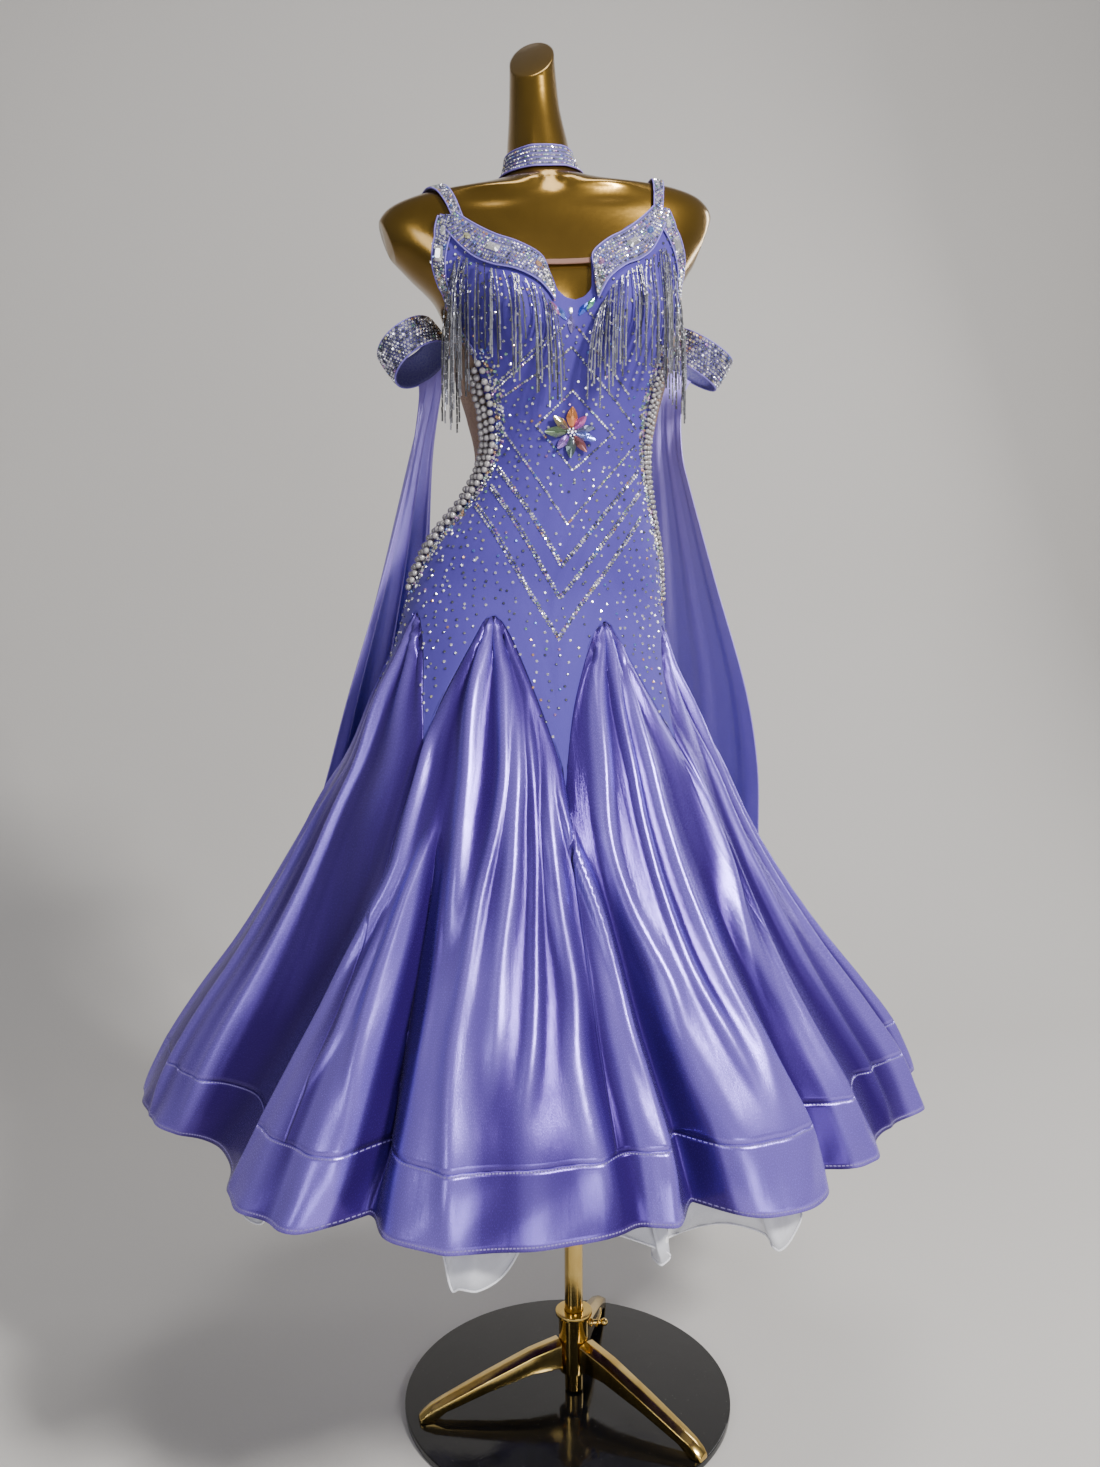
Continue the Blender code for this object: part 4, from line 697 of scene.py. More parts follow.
# The satin's finer creases, placed one by one: each soft ridge (+) or trough (-) has a
# half width in degrees, a height, and its line up the skirt as heights and angles.
CREASES = (
    (1.5, 0.0045, ((0.430, -17.0), (0.49, -17.7), (0.60, -19.3), (0.66, -18.7),
      (0.74, -17.4), (0.83, -14.6), (0.95, -15.5))),
    (2.6, 0.0060, ((0.560, -12.8), (0.676, -12.7), (0.774, -10.8), (0.91, -11.0))),
    (1.5, 0.0040, ((0.540, -8.9), (0.608, -7.4), (0.676, -6.6), (0.803, -5.9), (0.93, -8.1))),
    (2.8, 0.0065, ((0.430, 3.4), (0.50, 0.9), (0.585, -0.6), (0.65, 0.2), (0.728, -1.1), (0.855, -2.6))),
    (1.2, 0.0070, ((0.430, 10.0), (0.514, 10.3), (0.557, 9.9), (0.602, 8.8),
      (0.66, 8.2), (0.72, 6.7), (0.795, 2.8), (0.84, 0.9))),
    (2.4, 0.0060, ((0.545, 16.6), (0.608, 16.3), (0.655, 16.5), (0.72, 13.6), (0.80, 12.2), (0.963, 16.3))),
    (1.6, 0.0055, ((0.545, 24.8), (0.61, 23.3), (0.656, 22.0), (0.714, 21.6), (0.838, 22.5), (0.991, 24.1))),
    (1.7, 0.0055, ((0.530, 27.4), (0.584, 28.9), (0.646, 28.1), (0.729, 28.2), (0.904, 29.4), (1.01, 29.8))),
    (3.4, 0.0080, ((0.600, 39.0), (0.661, 39.8), (0.699, 41.8), (0.757, 46.8), (0.886, 48.7))),
    (2.0, 0.0060, ((0.430, -51.5), (0.475, -50.8), (0.55, -49.0), (0.604, -47.8),
      (0.651, -46.2), (0.703, -42.5), (0.774, -38.5), (0.925, -41.2))),
    (1.2, 0.0045, ((0.545, -42.5), (0.596, -39.9), (0.634, -39.8), (0.70, -38.5))),
    (1.5, 0.0060, ((0.430, -32.0), (0.50, -33.2), (0.536, -33.0), (0.59, -34.2),
      (0.646, -35.1), (0.72, -34.1), (0.80, -31.8))),
    (1.6, -0.0080, ((0.430, -28.0), (0.517, -29.1), (0.626, -30.3), (0.771, -29.9))),
    (2.6, 0.0070, ((0.700, -23.0), (0.791, -23.3), (0.909, -25.5), (1.007, -25.3))),
    (1.0, 0.0028, ((0.560, -24.5), (0.640, -25.0), (0.760, -26.0))),
    (1.8, 0.0060, ((0.430, 34.0), (0.500, 31.5), (0.560, 31.0))),
    (1.6, 0.0050, ((0.430, 45.0), (0.520, 44.0), (0.620, 46.0), (0.760, 53.0))),
    (1.8, 0.0055, ((0.430, 57.0), (0.560, 57.0), (0.700, 58.5), (0.900, 61.0))),
    (2.0, 0.0060, ((0.430, 66.0), (0.600, 67.0), (0.800, 68.0), (0.980, 67.0))),
    (2.2, 0.0070, ((0.430, 84.0), (0.600, 82.0), (0.760, 80.0), (0.900, 79.0))),
    (1.6, 0.0055, ((0.430, 97.0), (0.620, 96.0), (0.860, 95.0))),
    (2.0, 0.0060, ((0.430, 116.0), (0.600, 117.0), (0.820, 116.0), (0.980, 113.0))),
    (1.6, 0.0055, ((0.430, 129.0), (0.640, 128.0), (0.860, 127.0))),
    (2.2, 0.0070, ((0.430, 146.0), (0.620, 148.0), (0.860, 150.0), (0.980, 156.0))),
    (1.5, 0.0050, ((0.430, 158.0), (0.600, 160.0), (0.780, 161.0))),
    (2.0, 0.0060, ((0.430, 172.0), (0.640, 172.0), (0.840, 171.0))),
    (1.6, 0.0055, ((0.430, 185.0), (0.660, 186.0), (0.860, 187.0))),
    (2.2, 0.0065, ((0.430, 198.0), (0.620, 199.0), (0.860, 201.0), (0.990, 203.0))),
    (1.5, 0.0050, ((0.430, 208.0), (0.620, 209.0), (0.820, 211.0))),
    (2.0, 0.0060, ((0.430, 222.0), (0.640, 222.0), (0.860, 220.0))),
    (1.6, 0.0055, ((0.430, 232.0), (0.620, 231.0), (0.840, 230.0))),
    (2.0, 0.0065, ((0.430, 248.0), (0.640, 247.0), (0.880, 246.0), (0.990, 247.0))),
    (1.8, 0.0055, ((0.430, 262.0), (0.640, 262.0), (0.860, 263.0))),
    (1.6, 0.0060, ((0.430, 274.0), (0.620, 276.0), (0.820, 278.0))),
    (2.0, 0.0060, ((0.430, 284.0), (0.620, 287.0), (0.820, 291.0), (0.980, 292.0))),
)
CREASE_GAIN = 1.6
CREASE_WIDTH = 0.85
PUFF = 0.008
PUFF_REACH = 0.060
# The gathers that fan out below each godet's peak.
GATHER = 0.0048
GATHER_COUNT = 11.0
GATHER_FALL = 0.055
# Columns: height, half_span.
FRONT_EDGE = (
    (0.800, 90.0),
    (1.040, 90.0),
    (1.064, 85.5),
    (1.111, 79.0),
    (1.159, 73.0),
    (1.205, 64.0),
    (1.239, 57.0),
    (1.272, 53.5),
    (1.316, 53.5),
    (1.345, 58.0),
    (1.370, 66.0),
    (1.400, 68.0),
    (1.425, 64.0),
    (1.450, 54.0),
    (1.475, 43.5),
    (1.495, 39.5),
    (1.508, 36.5),
)
BACK_EDGE = (
    (0.800, 90.0),
    (1.040, 90.0),
    (1.064, 87.5),
    (1.111, 83.0),
    (1.159, 76.0),
    (1.205, 69.0),
    (1.239, 65.0),
    (1.300, 65.0),
    (1.345, 70.0),
    (1.380, 76.0),
)
# Columns: share of the half width, height.
NECKLINE = (
    (0.000, 1.388),
    (0.055, 1.391),
    (0.100, 1.399),
    (0.132, 1.437),
    (0.250, 1.453),
    (0.460, 1.472),
    (0.770, 1.494),
    (1.000, 1.500),
)
BACK_NECKLINE = ((0.0, 1.245), (0.2, 1.262), (0.4, 1.346), (0.583, 1.358), (0.75, 1.360), (1.0, 1.362))
# The crepe's columns bunch up at the keyhole. Columns: column, share at the top.
KEYHOLE_COLUMNS = ((0.0, 0.0), (0.083, 0.098), (0.167, 0.134), (0.25, 0.23), (0.77, 0.77), (1.0, 1.0))


def seam_height(angle):
    """The crepe's lower edge, from a godet's rounded peak down to the points beside it."""
    half = GODET_SPREAD / 2.0
    from_peak = np.abs(np.mod(angle, GODET_SPREAD) - half) / half
    tip = math.hypot(1.0, GODET_TIP) - GODET_TIP
    from_peak = np.minimum((np.hypot(from_peak, GODET_TIP) - GODET_TIP) / tip, 1.0)
    drop = 1.0 - (1.0 - from_peak) ** (1.0 / SEAM_SHARPNESS)
    point = read(CREPE_POINTS, np.mod(angle, 360.0))
    return GODET_PEAK - (GODET_PEAK - point) * drop


def below_seam(angle, height):
    return np.maximum(0.0, seam_height(angle - read(TWIST, height)) - height)


def gathers(angle, height, below):
    """Folds that fan out from each godet's peak and die away down the skirt."""
    half = GODET_SPREAD / 2.0
    number = np.floor(angle / GODET_SPREAD)
    middle = (number + 0.5) * GODET_SPREAD + read(TWIST, height)
    fallen = np.clip((GODET_PEAK - height) / (GODET_PEAK - 0.86), 0.0, 1.0)
    spread = half * (1.0 - (1.0 - fallen) ** SEAM_SHARPNESS) + 2.0
    wave = np.sin(GATHER_COUNT * np.clip((angle - middle) / spread, -1.0, 1.0) + 1.7 * number)
    left = np.exp(-np.maximum(GODET_PEAK - height, 0.0) / (2.2 * GATHER_FALL))
    fade = (1.0 - np.exp(-below / 0.006)) * left
    return GATHER * wave * fade


def fold_reach(angle, height):
    """How far the satin stands out from the skirt's plain sections."""
    angle, height = np.broadcast_arrays(np.asarray(angle, float), np.asarray(height, float))
    below = below_seam(angle, height)
    reach = PUFF * (1.0 - np.exp(-below / PUFF_REACH))
    taken = 1.0 - np.exp(-below / 0.08)
    for hem_angle, top_angle, width, out, start in FOLDS:
        down = np.maximum((start - height) / (start - HEM), 0.0)
        away = np.mod(angle - top_angle - (hem_angle - top_angle) * down + 180.0, 360.0) - 180.0
        reach = reach + out * rise(down) ** 0.8 * taken * np.exp(-((away / width) ** 2))
    taken = 1.0 - np.exp(-below / 0.018)
    for width, out, path in CREASES:
        away = np.mod(angle - smooth_read(path, height)[0] + 180.0, 360.0) - 180.0
        ends = rise((path[-1][0] + 0.05 - height) / 0.12) * rise((height - path[0][0] + 0.03) / 0.10)
        across = np.exp(-(np.abs(away / (CREASE_WIDTH * width)) ** 1.6))
        reach = reach + CREASE_GAIN * out * taken * ends * across
    return np.where(below > 0.0, reach + gathers(angle, height, below), 0.0)


def dress_point(angle, height):
    """The dress's own surface: on the form above the hips, flared with folds below."""
    angle, height = np.broadcast_arrays(np.asarray(angle, float), np.asarray(height, float))
    point = section_point(DRESS_SECTIONS, angle, height, BUST["depth"])
    reach = fold_reach(angle, height)
    turn = np.radians(angle)
    way = np.stack((np.sin(turn), -np.cos(turn), np.zeros_like(turn)), -1)
    return point + way * reach[..., None]


def on_dress(angle, height, lift):
    return lifted(dress_point, angle, height, np.broadcast_to(np.asarray(lift, float), np.shape(angle)))


def panel(neckline, edge, middle, bunched):
    def place(share, down):
        across = 2.0 * share - 1.0
        top_share = across
        if bunched:
            top_share = np.sign(across) * read(KEYHOLE_COLUMNS, np.abs(across))
        deep = down**1.15
        part = across + (top_share - across) * (1.0 - deep) ** 2
        bottom_angle = middle + across * SIDE_SEAM
        top = read(neckline, np.abs(part + (top_share - part) * (down == 0.0)))
        bottom = seam_height(bottom_angle)
        height = top + (bottom - top) * deep
        angle = middle + part * read(edge, height) + read(TWIST, height)
        return on_dress(angle, height, PANEL_LIFT)

    return place


def drawn_out(tree, where, share, scale, detail):
    """A noise drawn out along the second axis."""
    longer = put(tree, "Mapping", {"Vector": where, "Scale": (1.0, share, 1.0)}).outputs[0]
    return noise(tree, longer, scale, detail)


crepe_skin, tree, shader = new_material(
    "lilac_crepe", Roughness=0.78, Sheen_Weight=0.25, Sheen_Roughness=0.4, Sheen_Tint=(0.80, 0.78, 1.0, 1.0)
)
flat = put(tree, "TexCoord").outputs["UV"]
crinkle = drawn_out(tree, flat, 0.45, 1500.0, 2.0)
cloudy = noise(tree, flat, 14.0, 3.0)
tones = [(0.25, (0.060, 0.037, 0.315)), (0.75, (0.073, 0.047, 0.365))]
base = ramp(tree, cloudy, tones)
# The crinkle's low spots are darkened: painted shade in its pits.
crinkle_pit_shade = ramp(tree, crinkle, [(0.35, (0.86, 0.86, 0.90)), (0.60, (1.0, 1.0, 1.0))])
link(tree, blend(tree, 1.0, base, crinkle_pit_shade, "MULTIPLY"), shader, "Base Color")
bumped(tree, shader, crinkle, 0.00025)

front = cloth("crepe_front", 150, 150, panel(NECKLINE, FRONT_EDGE, 0.0, True), crepe_skin, (0.46, 0.62))
settle(front, ("bodice_front",))
back = cloth("crepe_back", 100, 90, panel(BACK_NECKLINE, BACK_EDGE, 180.0, False), crepe_skin, (0.48, 0.50))
settle(back, ("bodice_back",))


# The cut-outs beside the waist: sheer skin-coloured stretch mesh, sewn under the crepe's edges.
MESH_TOP = 1.386
MESH_BACK_TOP = 1.358
MESH_LEVEL = 1.200
MESH_BOTTOM = 1.058

mesh_skin, tree, shader = new_material("nude_mesh", Base_Color=(0.40, 0.27, 0.20, 1.0), Roughness=0.7)
flat = put(tree, "TexCoord").outputs["UV"]
cells = put(tree, "TexVoronoi", {"Vector": flat, "Scale": 900.0}, feature="DISTANCE_TO_EDGE").outputs[0]
threads = ramp(tree, cells, [(0.05, (0.85, 0.85, 0.85)), (0.22, (0.30, 0.30, 0.30))])
link(tree, threads, shader, "Alpha")
bumped(tree, shader, cells, -0.0001)
for side, name in ((-1, "left"), (1, "right")):

    def place(share, down, side=side):
        height = MESH_TOP + (MESH_BOTTOM - MESH_TOP) * down
        tilt = np.maximum(0.0, (height - MESH_LEVEL) / (MESH_TOP - MESH_LEVEL))
        height = height - (MESH_TOP - MESH_BACK_TOP) * share * tilt
        front_angle = read(FRONT_EDGE, height) - 1.0
        back_angle = 180.0 - read(BACK_EDGE, height) + 1.0
        return on_dress(side * (front_angle + (back_angle - front_angle) * share), height, CREPE_LIFT)

    made = cloth(f"sheer_{name}", 24, 70, place, mesh_skin, (0.12, 0.33), thick=0.0005)
    settle(made, (f"side_mesh_{name}",))


# The satin skirt: eight godets let in between the crepe's points, gathered at their peaks,
# over a stiffened satin band that is sewn on with one line of topstitching.
BAND_STITCH = 0.0035
BAND_TURN_UP = 0.0665
STITCH_HALF = 0.0007
STITCH_PITCH = 0.0036
# Each satin's tones in its troughs, on the level and on its ridges: painted shade in the troughs and a
# painted highlight on the ridges.
SATIN_PAINTED_TONES = ((0.036, 0.010, 0.170), (0.080, 0.042, 0.290), (0.240, 0.165, 0.700))
# The floats' tones are lighter: painted light for the shade the floats hang in.
FLOAT_LIGHTENED_TONES = ((0.180, 0.110, 0.480), (0.330, 0.230, 0.780), (0.440, 0.350, 0.920))

# The satin's colour: its three tones mixed by the painted fold shade, with a random drift and threads woven
# in.
shading_weave, given, end = node_group(
    "satin_weave_shaded",
    {"UV": "Vector", "FoldShading": "Float", "TroughShade": "Color", "Level": "Color", "RidgeHighlight": "Color"},
    {"Color": "Color", "Roughness": "Float", "Ripple": "Float", "Threads": "Float"},
)
climb = [
    put(shading_weave, "MapRange", {0: given["FoldShading"], 1: low, 2: high}).outputs[0]
    for low, high in ((0.10, 0.50), (0.50, 0.88))
]
tone = blend(shading_weave, climb[1], blend(shading_weave, climb[0], given["TroughShade"], given["Level"]), given["RidgeHighlight"])
drift = noise(shading_weave, given["UV"], 22.0, 3.0)
drift = ramp(shading_weave, drift, [(0.3, (0.93, 0.92, 0.97)), (0.7, (1.0, 1.0, 1.0))])
threads = drawn_out(shading_weave, given["UV"], 0.16, 2600.0, 2.0)
link(shading_weave, blend(shading_weave, 1.0, tone, drift, "MULTIPLY"), end, "Color")
link(shading_weave, sums(shading_weave, "MULTIPLY_ADD", threads, 0.20, 0.155), end, "Roughness")
link(shading_weave, drawn_out(shading_weave, given["UV"], 0.22, 65.0, 3.0), end, "Ripple")
link(shading_weave, threads, end, "Threads")


def satin(name, tones=SATIN_PAINTED_TONES, metal=0.50, stitched_at=()):
    """High-gloss polyester satin: its colour runs from painted shade in its troughs to a painted highlight on
    its ridges.
    """
    made, tree, shader = new_material(
        name, Metallic=metal, Specular_Tint=(0.66, 0.60, 1.0, 1.0), Anisotropic=0.55,
        Specular_IOR_Level=0.7, Sheen_Weight=0.07, Sheen_Tint=(0.70, 0.62, 1.0, 1.0),
    )
    flat = put(tree, "TexCoord").outputs["UV"]
    inputs = {label: (*tone, 1.0) for label, tone in zip(("TroughShade", "Level", "RidgeHighlight"), tones)}
    inputs["UV"] = flat
    inputs["FoldShading"] = put(tree, "Attribute", attribute_name="valley").outputs["Fac"]
    woven_shaded = put(tree, "Group", inputs, node_tree=shading_weave).outputs
    link(tree, woven_shaded["Roughness"], shader, "Roughness")
    colour = woven_shaded["Color"]
    height = bumped(tree, shader, woven_shaded["Ripple"], 0.0006)
    height = bumped(tree, shader, woven_shaded["Threads"], 0.00008, height)
    split = put(tree, "SeparateXYZ", {0: flat}).outputs
    for line in stitched_at:
        away = sums(tree, "ABSOLUTE", sums(tree, "SUBTRACT", split[1], line))
        near = sums(tree, "LESS_THAN", away, STITCH_HALF)
        along = sums(tree, "FRACT", sums(tree, "DIVIDE", split[0], STITCH_PITCH))
        mask = sums(tree, "MULTIPLY", near, sums(tree, "LESS_THAN", along, 0.68))
        colour = blend(tree, mask, colour, (0.34, 0.28, 0.70, 1.0))
        height = bumped(tree, shader, mask, -0.0003, height)
    link(tree, colour, shader, "Base Color")
    return made


def painted_fold_light(angle, height):
    """The painted fold shade: 0 deep in a fold, in painted shade; 1 on a ridge, in painted highlight; 0.5 on
    the level.
    """
    here = fold_reach(angle, height)
    around = [fold_reach(angle + away, height) for away in (-7.0, -4.0, 4.0, 7.0)]
    return np.clip(0.5 + (here - np.mean(around, axis=0)) / 0.016, 0.0, 1.0)


def godet_place(middle):
    """Where a godet's cloth lies, and how deep in a fold, which sets its painted fold shade."""

    def spot(share, down):
        base = middle + (2.0 * share - 1.0) * GODET_SPREAD / 2.0
        top = seam_height(base)
        height = top + (BAND_TOP - top) * down**0.9
        return base + read(TWIST, height), height

    def place(share, down):
        angle, height = spot(share, down)
        return on_dress(angle, height, PANEL_LIFT - 0.0004)

    def mark(share, down):
        return painted_fold_light(*spot(share, down))

    return place, mark


satin_skin = satin("lilac_satin")
for number in range(GODETS):
    middle = -180.0 + GODET_SPREAD * (number + 0.5)
    name = {22.5: "front", 67.5: "side_front", 112.5: "side_back", 157.5: "back"}[abs(middle)]
    name += "_left" if middle < 0 else "_right"
    place, mark = godet_place(middle)
    fine = abs(middle) < 90.0
    columns, rows = (104, 78) if fine else (72, 60)
    made = cloth(f"satin_{name}", columns, rows, place, satin_skin, (0.33, 0.52), marks={"valley": mark})
    settle(made, (f"godet_{name}",))


def hem_spot(share, down):
    return -180.0 + 360.0 * share, BAND_TOP + 0.001 + (HEM - BAND_TOP - 0.001) * down


def hem_place(share, down):
    angle, height = hem_spot(share, down)
    turn = math.tau * share
    puckers = 0.0002 * np.sin(turn * 150.0 + 2.0 * np.sin(share * 70.0)) * np.exp(-down / 0.15)
    ruffled = 0.0016 * np.sin(turn * 37.0 + 4.0 * down + 3.0 * np.sin(turn * 5.0)) * rise(down)
    return on_dress(angle, height, PANEL_LIFT - 0.0008 + puckers + ruffled)


# The band's painted fold shade.
def hem_painted_shade(share, down):
    return painted_fold_light(*hem_spot(share, down))


band_skin = satin("lilac_satin_band", stitched_at=(BAND_STITCH, BAND_TURN_UP))
hem = cloth(
    "satin_hem_band", 800, 10, hem_place, band_skin, (3.1, 0.07), ring=True, thick=0.0008,
    marks={"valley": hem_painted_shade},
)
settle(hem, ("hem_band",))


# The petticoat: one flounce of stiff sheer organza, embroidered with small dots, whose
# wired edge dips below the satin.
PETTICOAT_TOP = 0.640
PETTICOAT_HEM = 0.447
PETTICOAT_WAVES = 17
PETTICOAT_WAVE = 0.008
WIRE = 0.0011
# How far the flounce hangs inside the satin. Columns: share down, inset.
PETTICOAT_INSET = ((0.0, 0.0006), (0.14, 0.0220), (1.0, 0.0360))
# Columns: angle, width, drop.
DIPS = (
    (-140.0, 14.0, 0.024),
    (-60.0, 12.0, 0.034),
    (-14.0, 4.8, 0.044),
    (17.0, 13.5, 0.044),
    (75.0, 12.0, 0.020),
    (140.0, 14.0, 0.026),
)

organza_skin, tree, shader = new_material("white_organza", Roughness=0.35, Sheen_Weight=0.3)
flat = put(tree, "TexCoord").outputs["UV"]
dots = put(tree, "TexVoronoi", {"Vector": flat, "Scale": 70.0, "Randomness": 0.55}).outputs["Distance"]
spot = ramp(tree, dots, [(0.16, (1.0, 1.0, 1.0)), (0.22, (0.0, 0.0, 0.0))])
threads = noise(tree, flat, 2200.0, 1.0)
creased = noise(tree, flat, 60.0, 4.0, 0.8)
sheer = sums(tree, "MULTIPLY_ADD", threads, 0.24, 0.30)
sheer = sums(tree, "MULTIPLY_ADD", creased, 0.30, sheer)
link(tree, sums(tree, "MAXIMUM", sheer, sums(tree, "MULTIPLY", spot, 0.85)), shader, "Alpha")
link(tree, blend(tree, spot, (0.80, 0.81, 0.88, 1), (0.95, 0.95, 0.98, 1)), shader, "Base Color")
bumped(tree, shader, creased, 0.0006)


def flounce_place(share, down):
    angle = -180.0 + 360.0 * share
    turn = np.radians(angle)
    low = PETTICOAT_HEM + 0.0030 * np.sin(turn * 29.0)
    for middle, width, drop in DIPS:
        low = low - drop * np.exp(-(((angle - middle) / width) ** 4))
    height = PETTICOAT_TOP + (low - PETTICOAT_TOP) * down
    wave = PETTICOAT_WAVE * np.sin(turn * PETTICOAT_WAVES)
    wave = wave + 0.0040 * np.sin(turn * 61.0 + 3.0 * np.sin(turn * 5.0))
    return on_dress(angle, height, wave * down - read(PETTICOAT_INSET, down))


flounce = cloth("organza_flounce", 720, 18, flounce_place, organza_skin, (3.0, 0.2), ring=True, thick=0.0004)
settle(flounce, ("petticoat",))


def solid(name, points, faces, skin, tints=()):
    """An object from points and faces, with a tint for each point where it has them."""
    mesh = bpy.data.meshes.new(name)
    mesh.from_pydata([tuple(point) for point in points], [], faces)
    mesh.materials.append(skin)
    if len(tints):
        layer = mesh.color_attributes.new("tint", "FLOAT_COLOR", "POINT")
        layer.data.foreach_set("color", np.array(tints, dtype=np.float32).ravel())
    return into_scene(name, mesh)


def tube(name, path, radius, skin, closed=False, sides=8):
    """A round cord of a few sides along a path of points."""
    path = np.asarray(path, float)
    count = len(path)
    along = np.roll(path, -1, 0) - np.roll(path, 1, 0)
    if not closed:
        along[0] = path[1] - path[0]
        along[-1] = path[-1] - path[-2]
    along /= np.linalg.norm(along, axis=1, keepdims=True)
    upright = np.abs(along[:, 2:3]) > 0.9
    side = np.cross(along, np.where(upright, (1.0, 0.0, 0.0), (0.0, 0.0, 1.0)))
    side /= np.linalg.norm(side, axis=1, keepdims=True)
    up = np.cross(side, along)
    turns = np.arange(sides) * math.tau / sides
    spokes = side[:, None] * np.cos(turns)[:, None] + up[:, None] * np.sin(turns)[:, None]
    ring = path[:, None] + radius * spokes
    faces = []
    for i in range(count if closed else count - 1):
        j = (i + 1) % count
        for k in range(sides):
            m = (k + 1) % sides
            faces.append((i * sides + k, j * sides + k, j * sides + m, i * sides + m))
    if not closed:
        faces.append(tuple(range(sides)))
        faces.append(tuple(reversed([(count - 1) * sides + k for k in range(sides)])))
    made = solid(name, ring.reshape(-1, 3), faces, skin)
    made.data.shade_smooth()
    bm = bmesh.new()
    bm.from_mesh(made.data)
    bmesh.ops.recalc_face_normals(bm, faces=bm.faces)
    bm.to_mesh(made.data)
    bm.free()
    return made


wound, given, end = node_group(
    "wound_thread",
    {"Vector": "Vector", "Scale": "Float", "Dark": "Color", "Light": "Color"},
    {"Color": "Color", "Height": "Float"},
)
grain = noise(wound, given["Vector"], given["Scale"], 2.0)
paler = put(wound, "MapRange", {0: grain, 1: 0.3, 2: 0.7}).outputs[0]
link(wound, blend(wound, paler, given["Dark"], given["Light"]), end, "Color")
link(wound, grain, end, "Height")


def thread_skin(name, roughness, scale, dark, light, depth):
    """A cord wound with thread."""
    made, tree, shader = new_material(name, Roughness=roughness)
    inputs = {"Vector": put(tree, "TexCoord").outputs["Object"], "Scale": scale, "Dark": dark, "Light": light}
    outputs = put(tree, "Group", inputs, node_tree=wound).outputs
    link(tree, outputs["Color"], shader, "Base Color")
    bumped(tree, shader, outputs["Height"], depth)
    return made


wire_skin = thread_skin("white_wired_edge", 0.45, 900.0, (0.74, 0.74, 0.80, 1), (0.92, 0.92, 0.96, 1), 0.0003)
shares = np.linspace(0.0, 1.0, 1000, endpoint=False)
wire = tube("wired_edge", flounce_place(shares, np.ones(1000)), WIRE, wire_skin, closed=True)
settle(wire)


# The stones sewn and glued over the crepe: rows that meet in points down the front, a
# rhombus round the brooch, and a scatter between them. Foil-backed glass, cut in facets.
STONE = 0.0019
ROW_STONE = 0.0017
ROW_PITCH = 0.0034
DOUBLE_ROW_PITCH = 0.0038
LANE_GAP = 0.0042
# A stone's flat table is this share of its girdle, and less on the long pointed ones.
TABLE = 0.60
LONG_TABLE = 0.22
SCATTER_PITCH = 0.0108
# Each row of stones as (angle, height) corners, and how many stones wide it is.
STONE_ROWS = (
    (((-5.7, 1.360), (-46.5, 1.294)), 1),
    (((0.1, 1.359), (31.5, 1.287)), 1),
    (((-46.2, 1.282), (-1.6, 1.338), (41.8, 1.252)), 1),
    (((4.8, 1.375), (19.2, 1.328)), 1),
    (((-13.7, 1.349), (-50.4, 1.295)), 1),
    (((-0.8, 1.291), (-20.7, 1.252), (0.6, 1.201), (22.8, 1.244), (-0.8, 1.291)), 1),
    (((-44.0, 1.248), (2.0, 1.138), (44.0, 1.235)), 1),
    (((-49.0, 1.203), (3.0, 1.091), (50.0, 1.205)), 2),
    (((-50.0, 1.180), (3.7, 1.053), (52.0, 1.182)), 2),
    (((-56.0, 1.157), (3.4, 1.005), (50.0, 1.152)), 2),
)


def ring_points(sides, wide=1.0, tall=1.0, pointed=0.0):
    turns = np.arange(sides) * math.tau / sides
    x, y = np.cos(turns), np.sin(turns)
    x = x * (1.0 - pointed * np.abs(y) ** 1.5)
    return np.stack((x * wide, y * tall), -1)


ROUND = ring_points(8)
OVAL = ring_points(10, 1.0, 1.45)
MARQUISE = ring_points(12, 1.0, 2.1, 0.55)
BAGUETTE = [(-0.6, -1.7), (0.6, -1.7), (1.0, -1.3), (1.0, 1.3)]
BAGUETTE += [(-x, -y) for x, y in BAGUETTE]
# Columns: angle, height, outline, half width, tilt in degrees, tint.
KEYHOLE_STONES = (
    (-9.6, 1.378, MARQUISE, 0.0042, 35.0, (0.70, 0.25, 0.55)),
    (-6.4, 1.373, MARQUISE, 0.0042, 35.0, (0.16, 0.25, 0.80)),
    (2.6, 1.377, MARQUISE, 0.0042, -40.0, (0.06, 0.12, 0.75)),
    (5.8, 1.382, MARQUISE, 0.0038, -40.0, (0.20, 0.60, 0.40)),
    (-2.3, 1.362, MARQUISE, 0.0048, 0.0, (0.30, 0.25, 0.60)),
    (-2.3, 1.376, OVAL, 0.0030, 0.0, (0.80, 0.80, 0.86)),
)
CLEAR = ((0.42, 0.44, 0.46), (0.84, 0.86, 0.86), (0.15, 0.16, 0.20), (1.0, 1.0, 1.0), (0.28, 0.29, 0.35))
AURORA = ((0.60, 0.34, 0.62), (0.20, 0.34, 0.75), (0.36, 0.62, 0.46), (0.80, 0.50, 0.28), (0.70, 0.70, 0.42))


def gem_tint(share_of_colour):
    pick = AURORA if chance.random() < share_of_colour else CLEAR
    return pick[chance.integers(len(pick))]


def set_gems(name, gems):
    """Faceted stones in one mesh. A gem is (outline, size, height, point, out, up, tint)."""
    points, faces, tints = [], [], []
    for outline, size, height, point, out, up, tint in gems:
        out = np.asarray(out, float)
        side = np.cross(up, out)
        side /= max(np.linalg.norm(side), 1e-9)
        up = np.cross(out, side)
        start = len(points)
        count = len(outline)
        table = LONG_TABLE if count > 10 else TABLE
        for scale, level in ((1.0, -0.2), (1.0, 0.25), (table, 1.0)):
            for x, y in outline:
                points.append(point + size * scale * (side * x + up * y) + out * height * level)
        for k in range(count):
            m = (k + 1) % count
            faces.append((start + k, start + m, start + count + m, start + count + k))
            faces.append((start + count + k, start + count + m, start + 2 * count + m, start + 2 * count + k))
        faces.append(tuple(range(start + 2 * count, start + 3 * count)))
        tints.extend([(*tint, 1.0)] * (3 * count))
    return solid(name, points, faces, crystal_skin, tints)


